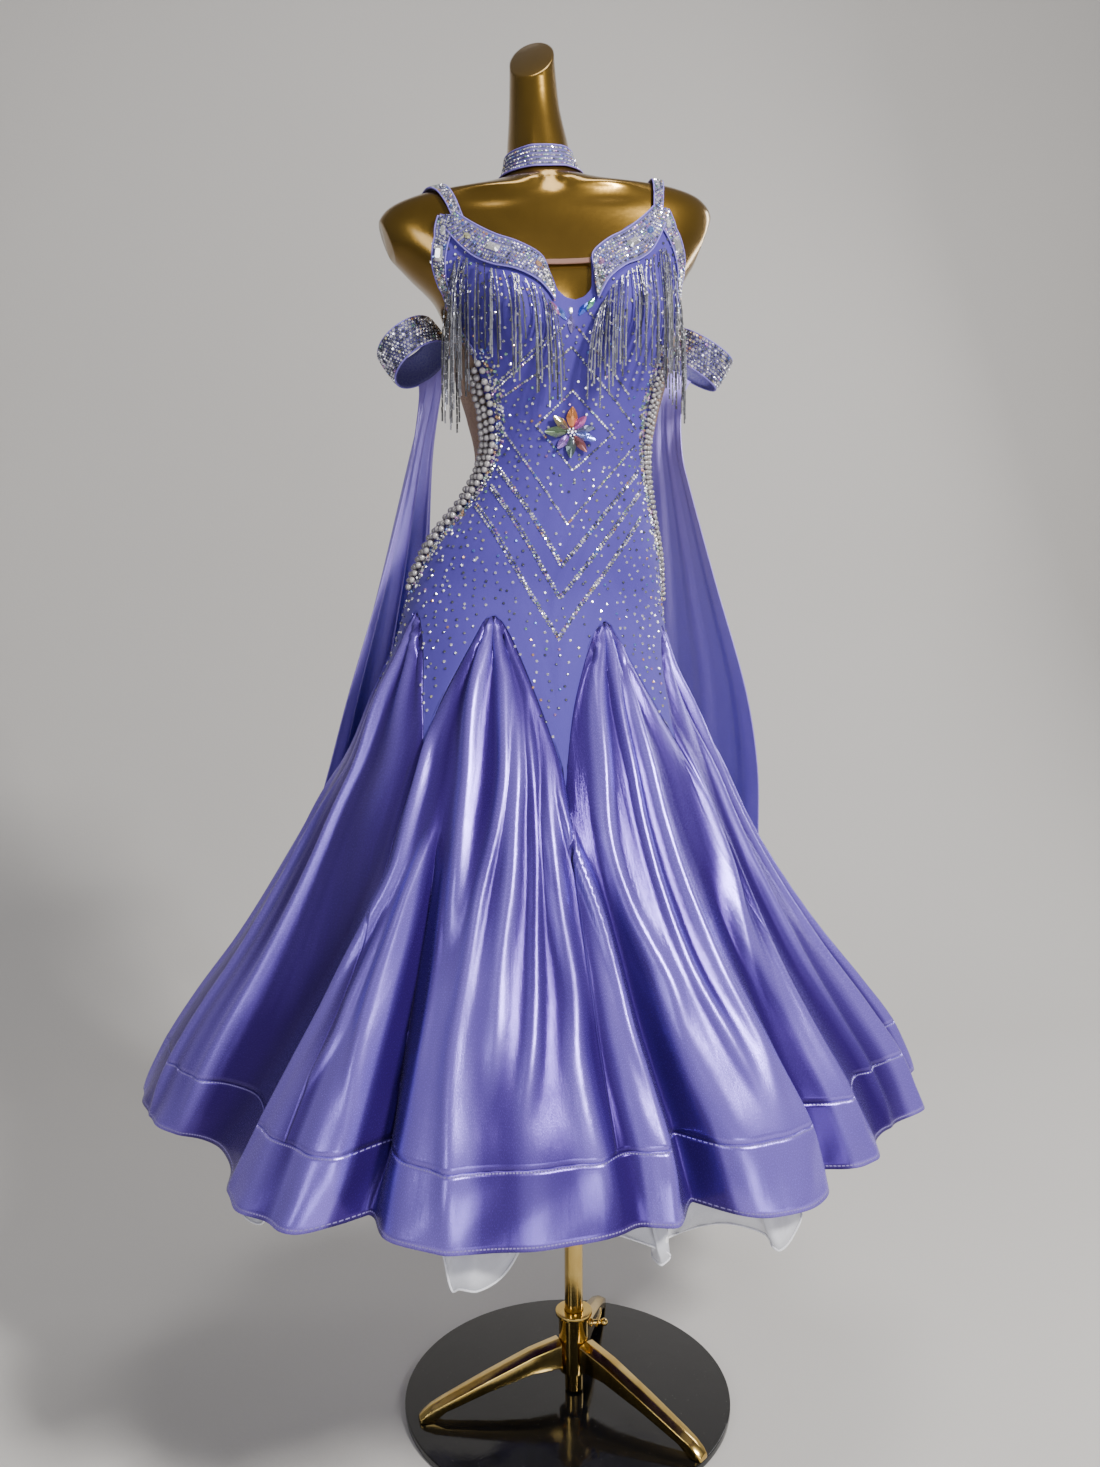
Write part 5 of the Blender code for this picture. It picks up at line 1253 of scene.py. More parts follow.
crystal_skin, tree, shader = new_material("crystal", Metallic=0.75, Coat_Weight=0.8, Coat_Roughness=0.03)
tint = put(tree, "Attribute", attribute_name="tint").outputs["Color"]
facing = put(tree, "LayerWeight", {"Blend": 0.35}).outputs["Facing"]
tones = [(0.0, (1.0, 1.0, 1.0)), (0.35, (0.95, 0.75, 0.98)), (0.6, (0.62, 0.80, 1.0))]
sheen = ramp(tree, facing, [*tones, (0.9, (0.85, 1.0, 0.80))])
link(tree, blend(tree, 0.55, tint, blend(tree, 1.0, tint, sheen, "MULTIPLY")), shader, "Base Color")
speckled(tree, shader, put(tree, "TexCoord").outputs["Object"], 500.0, 1.0, 0.22, 0.09)


def along_dress(corners, pitch, straight=False):
    """Evenly spaced (angle, height) spots between corners, in lines straight from the front if asked."""
    corners = np.array(corners, float)
    if straight:
        corners[:, 0] = section_point(DRESS_SECTIONS, corners[:, 0], corners[:, 1], 0.0)[:, 0]
    dense = np.concatenate([np.linspace(a, b, 60) for a, b in zip(corners, corners[1:])])
    if straight:
        middle_x, _, half_width, _, _, squareness = smooth_read(DRESS_SECTIONS, dense[:, 1])
        across = np.clip((dense[:, 0] - middle_x) / half_width, -0.99, 0.99)
        dense[:, 0] = np.degrees(np.arcsin(signed_power(across, squareness / 2.0)))
    places = on_dress(dense[:, 0], dense[:, 1], PANEL_LIFT)
    reached = np.concatenate(([0.0], np.cumsum(np.linalg.norm(np.diff(places, axis=0), axis=1))))
    wanted = np.arange(0.0, reached[-1], pitch)
    return np.stack((np.interp(wanted, reached, dense[:, 0]), np.interp(wanted, reached, dense[:, 1])), -1)


def gems_on_dress(spots, size, colour_share=0.12, vary=0.15, tilted=0.12):
    """Round stones at these (angle, height) spots of the dress."""
    places = lifted(dress_point, spots[:, 0], spots[:, 1], np.full(len(spots), PANEL_LIFT))
    outs = outward(dress_point, spots[:, 0], spots[:, 1])
    found = []
    for place, out in zip(places, outs):
        turn = chance.random() * math.tau
        up = np.array((math.sin(turn), 0.3 * math.cos(turn), math.cos(turn)))
        tilt = out + tilted * chance.standard_normal(3)
        tilt /= np.linalg.norm(tilt)
        grown = size * (1.0 + vary * (chance.random() - 0.5))
        found.append((ROUND, grown, grown * 0.75, place, tilt, up, gem_tint(colour_share)))
    return found


row_spots = []
for corners, wide in STONE_ROWS:
    for lane in range(wide):
        shift = LANE_GAP * (lane - (wide - 1) / 2.0)
        moved = [(angle, height + shift) for angle, height in corners]
        row_spots.extend(along_dress(moved, ROW_PITCH if wide == 1 else DOUBLE_ROW_PITCH, straight=True))
big = []
for angle, height, outline, size, tilted, tint in KEYHOLE_STONES:
    here, above = on_dress(np.full(2, angle), np.array((height, height + 0.004)), PANEL_LIFT)
    out = outward(dress_point, np.array([angle]), np.array([height]))[0]
    up = Vector((above - here).tolist())
    up.rotate(Matrix.Rotation(math.radians(tilted), 3, Vector(out.tolist())))
    big.append((outline, size, size * 0.8, here, out, np.array(up.normalized()), tint))
settle(set_gems("keyhole_stones", big))
row_spots = np.array(row_spots)
row_spots += chance.standard_normal(row_spots.shape) * (0.10, 0.0003)
stones = set_gems("stone_rows", gems_on_dress(row_spots, ROW_STONE, tilted=0.22))
settle(stones)


def clear_of(spots, taken, least):
    """The spots that stay at least this far from those taken."""
    free = []
    for spot in spots:
        radius = 0.13 * math.pi / 180.0
        away = np.hypot((taken[:, 0] - spot[0]) * radius, taken[:, 1] - spot[1])
        if away.min() > least:
            free.append(spot)
    return np.array(free)


def scatter(edge, neckline, middle, lowest, top_margin):
    found = []
    rows = np.arange(lowest, 1.49, SCATTER_PITCH * 0.87)
    for index, height in enumerate(rows):
        span = float(read(edge, height)) - 2.0
        radius = float(np.linalg.norm(section_point(DRESS_SECTIONS, 60.0, height, 0.0)[:2]))
        step = math.degrees(SCATTER_PITCH / max(radius, 0.1))
        angles = np.arange(-span + (index % 2) * step / 2.0, span, step)
        for angle in angles:
            share = abs(angle) / (span + 2.0)
            if height > float(read(neckline, share)) - top_margin:
                continue
            if height < float(seam_height(middle + angle)) + 0.012:
                continue
            found.append((middle + angle + chance.normal() * 1.3, height + chance.normal() * 0.0022))
    return np.array(found)


loose = clear_of(scatter(FRONT_EDGE, NECKLINE, 0.0, 0.90, 0.020), row_spots, 0.0052)
stones = set_gems("stone_scatter_front", gems_on_dress(loose, STONE))
settle(stones)
loose = scatter(BACK_EDGE, BACK_NECKLINE, 180.0, 0.90, 0.012)
stones = set_gems("stone_scatter_back", gems_on_dress(loose, STONE))
settle(stones)


# The stoned trims: folded lapels beside the keyhole, armhole bands and shoulder straps, all
# crepe edged with a thin rolled piping and paved with round stones, larger ones among them.
# Columns: upper_angle, upper_height, lower_angle, lower_height.
LAPEL = (
    (32.0, 1.4990, 37.5, 1.4800),
    (26.0, 1.4820, 34.5, 1.4500),
    (20.5, 1.4680, 29.0, 1.4330),
    (14.5, 1.4570, 22.0, 1.4230),
    (8.8, 1.4400, 15.0, 1.4080),
    (8.6, 1.4200, 11.5, 1.3950),
    (8.9, 1.4040, 9.6, 1.3860),
)
ARMHOLE_TOP = 1.4975
ARMHOLE_BOTTOM = 1.340
SIDE_RADIUS = 0.130
# Columns: share down, width.
ARMHOLE_WIDTHS = ((0.0, 0.016), (0.35, 0.018), (0.8, 0.011), (1.0, 0.008))
# Columns: share down, share across, outline, size.
LAPEL_STONES = ((0.33, 0.45, BAGUETTE, 0.0050), (0.14, 0.5, OVAL, 0.0036), (0.66, 0.45, OVAL, 0.0034))
# Columns: share down, outline, size.
ARMHOLE_STONES = ((0.26, BAGUETTE, 0.0050), (0.11, OVAL, 0.0040), (0.44, OVAL, 0.0030))
CHEST = (FIGURE_MIDDLE, 0.0, 1.43)
# Columns: turn over the shoulder, distance from the figure's middle.
STRAPS = {
    -1: (
        (-60.0, 0.108), (-40.0, 0.120), (-18.0, 0.138), (0.0, 0.143),
        (40.0, 0.136), (90.0, 0.108), (140.0, 0.080),
    ),
    1: ((-60.0, 0.118), (-25.0, 0.126), (0.0, 0.131), (40.0, 0.128), (90.0, 0.106), (140.0, 0.080)),
}
STRAP_HUB_Y = 0.012
STRAP_HUB_Z = 1.430
STRAP_FRONT_END = 1.4860
STRAP_BACK_END = 1.3490
STRAP_LIFT = 0.0030
STRAP_WIDTH = 0.015
PIPING = 0.0009
PAVE = 0.0015

stoned_skin, tree, shader = new_material("stoned_crepe")
flat = put(tree, "TexCoord").outputs["UV"]
glue = speckled(tree, shader, flat, 420.0, 3.0, -0.5, 0.85)
tones = [(0.35, (0.075, 0.058, 0.260)), (0.65, (0.130, 0.120, 0.300))]
link(tree, ramp(tree, glue, tones), shader, "Base Color")
bumped(tree, shader, noise(tree, flat, 1500.0, 2.0), 0.0002)

piping_skin = thread_skin("lilac_piping", 0.5, 1100.0, (0.17, 0.13, 0.54, 1), (0.26, 0.21, 0.68, 1), 0.0002)


def paved(surface_at, across, long, edge):
    """Places and outward ways of rows of stones over a strip with these outer points."""
    lanes = round(across / (2.02 * PAVE))
    steps = round(long / (2.0 * PAVE))
    lane, step = np.meshgrid(np.arange(lanes), np.arange(steps))
    share = (edge + (1.0 - 2.0 * edge) * (lane + 0.5) / lanes).ravel()
    down = ((step + 0.5 + 0.5 * (lane % 2) - 0.25) / steps).ravel()
    share = share + chance.standard_normal(len(share)) * 0.05 / lanes
    down = np.clip(down, 0.004, 0.996)
    here = surface_at(share, down)
    side = surface_at(np.minimum(share + 0.02, 1.02), down) - surface_at(share - 0.02, down)
    line = surface_at(share, np.minimum(down + 0.004, 1.0)) - surface_at(share, np.maximum(down - 0.004, 0.0))
    outs = np.cross(line, side)
    outs /= np.linalg.norm(outs, axis=1, keepdims=True)
    return here, outs


def turned_from(middle, here, outs):
    return outs * np.sign(np.sum(outs * (here - middle), axis=1))[:, None]


def big_stone(outline, size, spot, out, tint):
    """A larger stone at the first of two spots, with its length towards the second."""
    up = spot[1] - spot[0]
    return outline, size, size * 0.7, spot[0], out, up / np.linalg.norm(up), tint


def pave_gems(here, outs, size, colour_share, big=()):
    """Round stones at these places, but none that would lie under a larger one, and the larger ones."""
    taken = [(gem[3], gem[1] * 1.35) for gem in big]
    found = []
    for place, out in zip(here, outs):
        if any(np.linalg.norm(place - spot) < reach for spot, reach in taken):
            continue
        turn = chance.random() * math.tau
        up = np.array((math.sin(turn), 0.3, math.cos(turn)))
        tilt = out + 0.14 * chance.standard_normal(3)
        tilt /= np.linalg.norm(tilt)
        grown = size * (0.88 + 0.3 * chance.random())
        found.append((ROUND, grown, grown * 0.8, place, tilt, up, gem_tint(colour_share)))
    return found + list(big)


def outside_form(points):
    """Which points lie outside the form. The slope is undone in three steps."""
    height = points[:, 2]
    for _ in range(3):
        middle_x, middle_y, half_width, ahead, behind, squareness = smooth_read(FORM_SECTIONS, height)
        height = points[:, 2] - read(SLOPES, height) * (points[:, 0] - middle_x)
    x = np.abs(points[:, 0] - middle_x) / half_width
    depth = np.where(points[:, 1] < middle_y, ahead, behind)
    return x**squareness + (np.abs(points[:, 1] - middle_y) / depth) ** squareness > 1.0


def over_shoulder(x, turn, lift):
    """The form's surface where a ray leaves the shoulder's inside: -90 forwards, 0 up, 90 back."""
    turn = np.radians(turn)
    ray = np.stack((np.zeros_like(turn), np.sin(turn), np.cos(turn)), -1)
    start = np.stack((x, np.full_like(x, STRAP_HUB_Y), np.full_like(x, STRAP_HUB_Z)), -1)
    low, high = np.zeros_like(x), np.full_like(x, 0.2)
    for _ in range(24):
        reach = (low + high) / 2.0
        out = outside_form(start + ray * reach[:, None])
        high = np.where(out, reach, high)
        low = np.where(out, low, reach)
    return start + ray * (high + lift)[:, None]


def turn_at(side, height, toward):
    near, far = 0.0, toward
    for _ in range(24):
        turn = (near + far) / 2.0
        x = FIGURE_MIDDLE + side * float(read(STRAPS[side], turn))
        reached = over_shoulder(np.array([x]), np.array([turn]), np.zeros(1))[0, 2]
        if reached > height + float(read(SLOPES, height)) * (x - FIGURE_MIDDLE):
            near = turn
        else:
            far = turn
    return near


def trim_piece(name, columns, rows, place, span, node, ring=False, centre=None, piping=True):
    """A strip of crepe, with piping along both long edges unless told otherwise."""
    made = cloth(name, columns, rows, place, stoned_skin, span, ring=ring, thick=TRIM, centre=centre)
    settle(made, (node,))
    if piping:
        shares = np.linspace(0.0, 1.0, 90)
        for index, fixed in enumerate((0.0, 1.0)):
            path = place(np.full(90, fixed), shares)
            edge = tube(f"{name}_piping_{index + 1}", path, PIPING, piping_skin)
            settle(edge)


def ring_piping(name, place, columns, radius):
    """Piping round both edges of a ring."""
    shares = np.linspace(0.0, 1.0, columns, endpoint=False)
    for index, fixed in enumerate((0.0, 1.0)):
        path = place(shares, np.full(columns, fixed))
        edge = tube(f"{name}_{index + 1}", path, radius, piping_skin, closed=True)
        settle(edge)


for side, name in ((-1, "left"), (1, "right")):
    rows = [(index / (len(LAPEL) - 1.0), *row) for index, row in enumerate(LAPEL)]

    def lapel(share, down, side=side, rows=rows):
        upper_angle, upper_height, lower_angle, lower_height = smooth_read(rows, down)
        angle = upper_angle + (lower_angle - upper_angle) * share
        height = upper_height + (lower_height - upper_height) * share
        bulge = 0.0012 * np.sin(math.pi * share)
        return on_dress(side * angle, height, TRIM_LIFT + TRIM + 0.0014 + bulge)

    trim_piece(f"folded_lapel_{name}", 10, 60, lapel, (0.024, 0.125), f"lapel_{name}")
    big = []
    for down, share, outline, size in LAPEL_STONES:
        spot = lapel(np.array([share, share]), np.array([down, min(down + 0.02, 1.0)]))
        out = outward(dress_point, np.array([side * 20.0]), np.array([1.45]))[0]
        tint = (0.78, 0.80, 0.80) if outline is BAGUETTE else AURORA[chance.integers(5)]
        big.append(big_stone(outline, size, spot, out, tint))
    here, outs = paved(lapel, 0.024, 0.125, 0.06)
    gems = pave_gems(here, turned_from(CHEST, here, outs), PAVE, 0.22, big)
    settle(set_gems(f"lapel_stones_{name}", gems))

    def armhole(share, down, side=side):
        height = ARMHOLE_TOP + (ARMHOLE_BOTTOM - ARMHOLE_TOP) * down
        wide = np.degrees(read(ARMHOLE_WIDTHS, down) / SIDE_RADIUS)
        angle = read(FRONT_EDGE, height) + 0.2 - wide * (1.0 - share)
        return on_dress(side * angle, height, TRIM_LIFT + TRIM)

    trim_piece(f"armhole_{name}", 6, 60, armhole, (0.016, 0.155), f"armhole_band_{name}")
    big = []
    for down, outline, size in ARMHOLE_STONES:
        spot = armhole(np.array([0.5, 0.5]), np.array([down, down + 0.02]))
        height = ARMHOLE_TOP + (ARMHOLE_BOTTOM - ARMHOLE_TOP) * down
        angle = side * (float(read(FRONT_EDGE, height)) - 3.0)
        out = outward(dress_point, np.array([angle]), np.array([height]))[0]
        big.append(big_stone(outline, size, spot, out, (0.76, 0.79, 0.78)))
    here, outs = paved(armhole, 0.016, 0.155, 0.06)
    gems = pave_gems(here, turned_from(CHEST, here, outs), PAVE, 0.22, big)
    settle(set_gems(f"armhole_stones_{name}", gems))

    first_turn = turn_at(side, STRAP_FRONT_END, -60.0)
    last_turn = turn_at(side, STRAP_BACK_END, 140.0)

    def strap(share, down, side=side, first_turn=first_turn, last_turn=last_turn):
        turn = first_turn + (last_turn - first_turn) * down
        width = STRAP_WIDTH * (1.0 - 0.30 * rise(1.0 - down / 0.25))
        x = FIGURE_MIDDLE + side * read(STRAPS[side], turn) + width * (share - 0.5)
        lapped = np.maximum(0.0, np.maximum(1.0 - down / 0.14, 1.0 - (1.0 - down) / 0.14))
        lift = STRAP_LIFT + (TRIM_LIFT + 0.0006 - STRAP_LIFT) * lapped
        return over_shoulder(x, turn, lift + CLOTH)

    trim_piece(f"shoulder_strap_{name}", 6, 110, strap, (0.015, 0.29), f"strap_{name}")
    here, outs = paved(strap, STRAP_WIDTH, 0.29, 0.05)
    hub = np.stack((here[:, 0], np.full(len(here), STRAP_HUB_Y), np.full(len(here), STRAP_HUB_Z)), -1)
    gems = pave_gems(here, turned_from(hub, here, outs), PAVE, 0.2)
    settle(set_gems(f"strap_stones_{name}", gems))


# The choker: a crepe band round the neck, paved in five rows with the cloth showing between.
CHOKER_TOP = 1.5815
CHOKER_TALL = 0.0265
CHOKER_LIFT = 0.0012
CHOKER_ROWS = 5
CHOKER_STONES = 108


def choker(share, down):
    height = CHOKER_TOP - CHOKER_TALL * down
    return lifted(form_point, 360.0 * share, height, np.full(len(share), CHOKER_LIFT + TRIM))


trim_piece(
    "neck_choker", 140, 8, choker, (0.29, 0.027), "choker", ring=True,
    centre=(-0.034, 0.016, 1.565), piping=False,
)
ring_piping("choker_piping", choker, 140, PIPING)
gems = []
for row in range(CHOKER_ROWS):
    share = (np.arange(CHOKER_STONES) + 0.5 * (row % 2)) / CHOKER_STONES
    down = np.full(CHOKER_STONES, 0.12 + 0.19 * row)
    here = choker(share, down)
    outs = outward(form_point, 360.0 * share, CHOKER_TOP - CHOKER_TALL * down)
    gems += pave_gems(here, outs, 0.00125, 0.12)
settle(set_gems("choker_stones", gems))


# The keyhole's elastic: a narrow matte nude band that holds the two lapels together.
ELASTIC_HALF_SPAN = 7.58
ELASTIC_TOP = 1.4365
ELASTIC_WIDTH = 0.006

nude_skin, tree, shader = new_material("nude_elastic", Roughness=0.6)
flat = put(tree, "TexCoord").outputs["UV"]
ribs = put(tree, "TexWave", {"Vector": flat, "Scale": 700.0}, bands_direction="Y").outputs["Fac"]
link(tree, ramp(tree, ribs, [(0.2, (0.30, 0.15, 0.11)), (0.8, (0.42, 0.23, 0.18))]), shader, "Base Color")
bumped(tree, shader, ribs, 0.0003)


def bridge(share, down):
    angle = ELASTIC_HALF_SPAN * (2.0 * share - 1.0)
    return on_dress(angle, ELASTIC_TOP - ELASTIC_WIDTH * down, CREPE_LIFT + 0.001)


made = cloth("elastic", 16, 4, bridge, nude_skin, (0.028, 0.006), thick=0.001)
settle(made, ("keyhole_elastic",))


# Pearls along the cut-outs' front edges: heavy round ones on the figure's right side, which
# the photograph shows on the left, and finer ones between stones on the other side.
PEARL_TOP = 1.330
PEARL_BOTTOM = 1.058
PEARL_LANES = 3

pearl_skin, tree, shader = new_material(
    "pearl", Roughness=0.20, Metallic=0.25, Coat_Weight=0.8, Coat_Roughness=0.06
)
facing = put(tree, "LayerWeight", {"Blend": 0.4}).outputs["Facing"]
where = put(tree, "TexCoord").outputs["Object"]
# The pearls are painted lighter where they face the viewer and dark to their rims: a painted highlight and
# painted shade.
tones = [(0.0, (0.50, 0.48, 0.48)), (0.40, (0.28, 0.26, 0.28)), (0.85, (0.05, 0.04, 0.05))]
pearl_painted_light = ramp(tree, facing, tones)
cloudy = ramp(tree, noise(tree, where, 210.0, 3.0), [(0.3, (0.90, 0.89, 0.92)), (0.7, (1.0, 0.99, 0.97))])
link(tree, blend(tree, 1.0, pearl_painted_light, cloudy, "MULTIPLY"), shader, "Base Color")
bumped(tree, shader, noise(tree, where, 900.0, 1.0), 0.00004)


def set_pearls(name, places, sizes):
    ball = bmesh.new()
    bmesh.ops.create_icosphere(ball, subdivisions=2, radius=1.0)
    points = np.array([vert.co[:] for vert in ball.verts])
    corners = [[vert.index for vert in face.verts] for face in ball.faces]
    ball.free()
    verts, faces = [], []
    for place, size in zip(places, sizes):
        start = len(verts) * len(points)
        verts.append(points * size + place)
        faces.extend([tuple(start + corner for corner in face) for face in corners])
    made = solid(name, np.concatenate(verts), faces, pearl_skin)
    made.data.shade_smooth()
    return made


for side, name, size in ((-1, "left", 0.0044), (1, "right", 0.0030)):
    spots, sizes, stone_spots = [], [], []
    pitch = 2.06 * size
    for lane in range(PEARL_LANES):
        levels = np.linspace(PEARL_TOP, PEARL_BOTTOM, 120)
        reach = np.radians(read(FRONT_EDGE, levels)) * SIDE_RADIUS
        slope_x, slope_z = np.gradient(reach), np.gradient(levels)
        length = np.hypot(slope_x, slope_z)
        off = (lane - 0.8) * 1.28 * pitch
        aside = np.degrees((reach - slope_z / length * off) / SIDE_RADIUS)
        travelled = np.concatenate(([0.0], np.cumsum(np.hypot(np.diff(reach), np.diff(levels)))))
        wanted = np.arange(pitch * (0.5 + 0.5 * (lane % 2)), travelled[-1], pitch)
        lane_level = np.interp(wanted, travelled, levels + slope_x / length * off)
        found = np.stack((np.interp(wanted, travelled, side * aside), lane_level), -1)
        found = found + chance.standard_normal(found.shape) * (0.35, 0.0004)
        spots.extend(found)
        sizes.extend(size * (0.94 + 0.1 * chance.random(len(found))))
    for offset in (1.75, 2.35, 2.95):
        line = []
        for height in np.linspace(PEARL_TOP + 0.012, PEARL_BOTTOM, 120):
            wide = math.degrees(offset * pitch / SIDE_RADIUS * (1.0 if side < 0 else 1.1))
            line.append((side * (float(read(FRONT_EDGE, height)) - wide), height))
        stone_spots.extend(along_dress(line, 0.0036 + 0.0012 * (offset - 1.7)))
    spots = np.array(spots)
    places = on_dress(spots[:, 0], spots[:, 1], PANEL_LIFT + np.array(sizes) * 0.9)
    made = set_pearls(f"pearls_{name}", places, sizes)
    settle(made, (f"pearl_edge_{name}",))
    stone_spots = np.array(stone_spots)
    stone_spots += chance.standard_normal(stone_spots.shape) * (0.5, 0.0008)
    gems = gems_on_dress(stone_spots, STONE * 1.05, colour_share=0.3, vary=0.5)
    settle(set_gems(f"edge_stones_{name}", gems))


# The fringe: strings of seed beads that turn into silver-lined bugles, which fan out from
# under the lapels and armholes and hang plumb over the bust.
STRINGS = 48
FRINGE_LIFT = PANEL_LIFT + 0.0030
SEED = 0.0007
BUGLE = 0.0011
BUGLE_LONG = 0.0085
SEED_LONG = 0.0026
BEAD_GAP = 0.0004
STRING_SHADES = (0.22, 0.40, 0.62, 0.90)
LEAST_SHARE = 0.60
BRIGHTEST = 0.96
# Columns: angle, height, length.
FRINGE = (
    (10.8, 1.3785, 0.095),
    (13.6, 1.3885, 0.110),
    (17.5, 1.4020, 0.105),
    (24.0, 1.4165, 0.100),
    (30.5, 1.4270, 0.110),
    (36.0, 1.4420, 0.135),
    (40.0, 1.4500, 0.150),
    (44.5, 1.4410, 0.145),
    (52.5, 1.4250, 0.140),
    (61.0, 1.4000, 0.120),
    (62.0, 1.3800, 0.110),
)

silver_skin, tree, shader = new_material("silver_bugles", Metallic=0.85, Coat_Weight=0.7, Coat_Roughness=0.05)
where = put(tree, "TexCoord").outputs["Object"]
tones = [(0.35, (0.75, 0.75, 0.80)), (0.60, (0.90, 0.90, 0.93)), (0.80, (1.0, 1.0, 1.0))]
tint = put(tree, "Attribute", attribute_name="tint").outputs["Color"]
cloudy = ramp(tree, noise(tree, where, 130.0, 2.0), tones)
link(tree, blend(tree, 1.0, tint, cloudy, "MULTIPLY"), shader, "Base Color")
speckled(tree, shader, where, 700.0, 1.0, 0.16, 0.06)


def front_of_dress(x, height, lift):
    """Y of the dress's front at this X, and far back beside it."""
    middle_x, middle_y, half_width, front_depth, _, squareness = smooth_read(DRESS_SECTIONS, height)
    away = np.abs(x - middle_x) / (half_width + lift)
    depth = (front_depth + lift) * (1.0 - np.minimum(away, 0.999) ** squareness) ** (1.0 / squareness)
    y = middle_y - depth - bust_reach(x - middle_x, height, BUST["depth"])
    return np.where(away > 0.985, 1.0, y)


def bead(points, faces, tints, low, high, radius, shade):
    """A six-sided glass tube between two points."""
    shade = min(shade * (LEAST_SHARE + chance.random()), BRIGHTEST)
    tints.extend([(shade, shade, 1.04 * shade, 1.0)] * 12)
    low = low + chance.standard_normal(3) * 0.00018
    high = high + chance.standard_normal(3) * 0.00018
    start = len(points)
    side = np.array((radius, 0.0, 0.0))
    back = np.array((0.0, radius, 0.0))
    for end in (low, high):
        for k in range(6):
            turn = math.tau * k / 6.0
            points.append(end + side * math.cos(turn) + back * math.sin(turn))
    for k in range(6):
        m = (k + 1) % 6
        faces.append((start + k, start + m, start + 6 + m, start + 6 + k))
    faces.append(tuple(reversed(range(start, start + 6))))
    faces.append(tuple(range(start + 6, start + 12)))


path = [(index / (len(FRINGE) - 1.0), *row) for index, row in enumerate(FRINGE)]
for side, name in ((-1, "left"), (1, "right")):
    points, faces, tints = [], [], []
    share = np.clip((np.arange(STRINGS) + 0.9 * chance.standard_normal(STRINGS)) / (STRINGS - 1.0), 0.0, 1.0)
    angles, heights, lengths = smooth_read(path, share)
    lengths = lengths * (1.0 + 0.16 * chance.standard_normal(STRINGS).clip(-1.6, 1.2))
    roots = on_dress(side * angles, heights, FRINGE_LIFT)
    centre_x = roots[:, 0].mean()
    for root, length in zip(roots, lengths):
        travel = np.linspace(0.0, length, 60)
        sway = 0.005 * chance.standard_normal()
        final_x = centre_x + (root[0] - centre_x) * 1.14 + sway
        x = final_x + (root[0] - final_x) * np.exp(-travel / 0.034)
        z = root[2] - travel
        level = z - read(SLOPES, z) * (x - FIGURE_MIDDLE)
        y = np.minimum(root[1], front_of_dress(x, level, FRINGE_LIFT + 0.0008))
        y = np.minimum.accumulate(y) - 0.0016 * chance.random()
        line = np.stack((x, y, z), -1)
        change = 0.22 + 0.25 * chance.random()
        shade = STRING_SHADES[chance.integers(4)]
        reached = 0.0
        while reached < length - 0.002:
            late = reached > change * length
            long = BUGLE_LONG * (0.8 + 0.3 * chance.random()) if late else SEED_LONG
            ends = [reached, min(reached + long, length)]
            pair = [np.array([np.interp(end, travel, line[:, axis]) for axis in range(3)]) for end in ends]
            bead(points, faces, tints, pair[1], pair[0], BUGLE if late else SEED, shade)
            reached = ends[1] + BEAD_GAP
    made = solid(f"bead_fringe_{name}", points, faces, silver_skin, tints)
    settle(made, (f"fringe_{name}",))


# The arm drapes: a paved crepe loop for each upper arm, lined with satin, and a long satin
# float gathered into it that hangs down beside the skirt.
BAND_RADIUS = 0.038
BAND_TALL = 0.040
BAND_HEIGHT = 1.352
BAND_BACK = 0.030
BAND_AXES = {"left": (0.50, -0.36, -0.78), "right": (-0.50, 0.10, -0.86)}
BAND_SEATS = {"left": 0.0057, "right": -0.0003}
# Columns: height, middle_x, outer_x, outer_y, inner_x, inner_y, pleat.
DRAPE = (
    (0.520, -0.034, 0.390, 0.270, 0.157, 0.410, 0.014),
    (0.580, -0.030, 0.366, 0.238, 0.152, 0.378, 0.014),
    (0.700, -0.020, 0.326, 0.172, 0.142, 0.312, 0.014),
    (0.820, -0.015, 0.296, 0.106, 0.142, 0.246, 0.013),
    (0.930, -0.015, 0.266, 0.068, 0.150, 0.194, 0.011),
    (1.080, -0.017, 0.218, 0.052, 0.150, 0.136, 0.008),
    (1.200, -0.019, 0.183, 0.046, 0.146, 0.100, 0.005),
    (1.280, -0.020, 0.162, 0.048, 0.140, 0.078, 0.003),
)
ARM_ROWS = 9
ARM_STONES = 55
DRAPE_PLEATS = 2.5
DRAPE_BELLY = 0.10
DRAPE_OUTER_TURN = 20.0
DRAPE_INNER_TURN = -70.0


def band_frame(side, name):
    """Middle and axes of an armband, moved in until it just clears the dress's side."""
    axis = Vector(BAND_AXES[name]).normalized()
    back_way = Vector((0.0, 1.0, 0.0))
    back_way = (back_way - axis * back_way.dot(axis)).normalized()
    out_way = axis.cross(back_way) * side
    middle = Vector((FIGURE_MIDDLE + side * 0.25, BAND_BACK, BAND_HEIGHT))
    turns = np.radians(np.repeat(np.arange(72) * 5.0, 3))
    along = np.tile((-0.5, 0.0, 0.5), 72)
    spokes = np.outer(np.cos(turns), back_way) + np.outer(np.sin(turns), out_way)
    points = np.array(middle) + spokes * (BAND_RADIUS + TRIM) + np.outer(along * BAND_TALL, axis)
    height = points[:, 2] - read(SLOPES, points[:, 2]) * (points[:, 0] - FIGURE_MIDDLE)
    middle_x, middle_y, half_width, front_depth, rear, squareness = smooth_read(DRESS_SECTIONS, height)
    deep = np.where(points[:, 1] < middle_y, front_depth, rear) + PANEL_LIFT
    away = np.minimum(np.abs(points[:, 1] - middle_y) / deep, 1.0)
    edge = (half_width + PANEL_LIFT) * (1.0 - away**squareness) ** (1.0 / squareness)
    nearest = float(np.min(side * (points[:, 0] - middle_x) - edge))
    middle.x -= side * (nearest - 0.0003 + BAND_SEATS[name])
    return np.array(middle), np.array(axis), np.array(back_way), np.array(out_way)
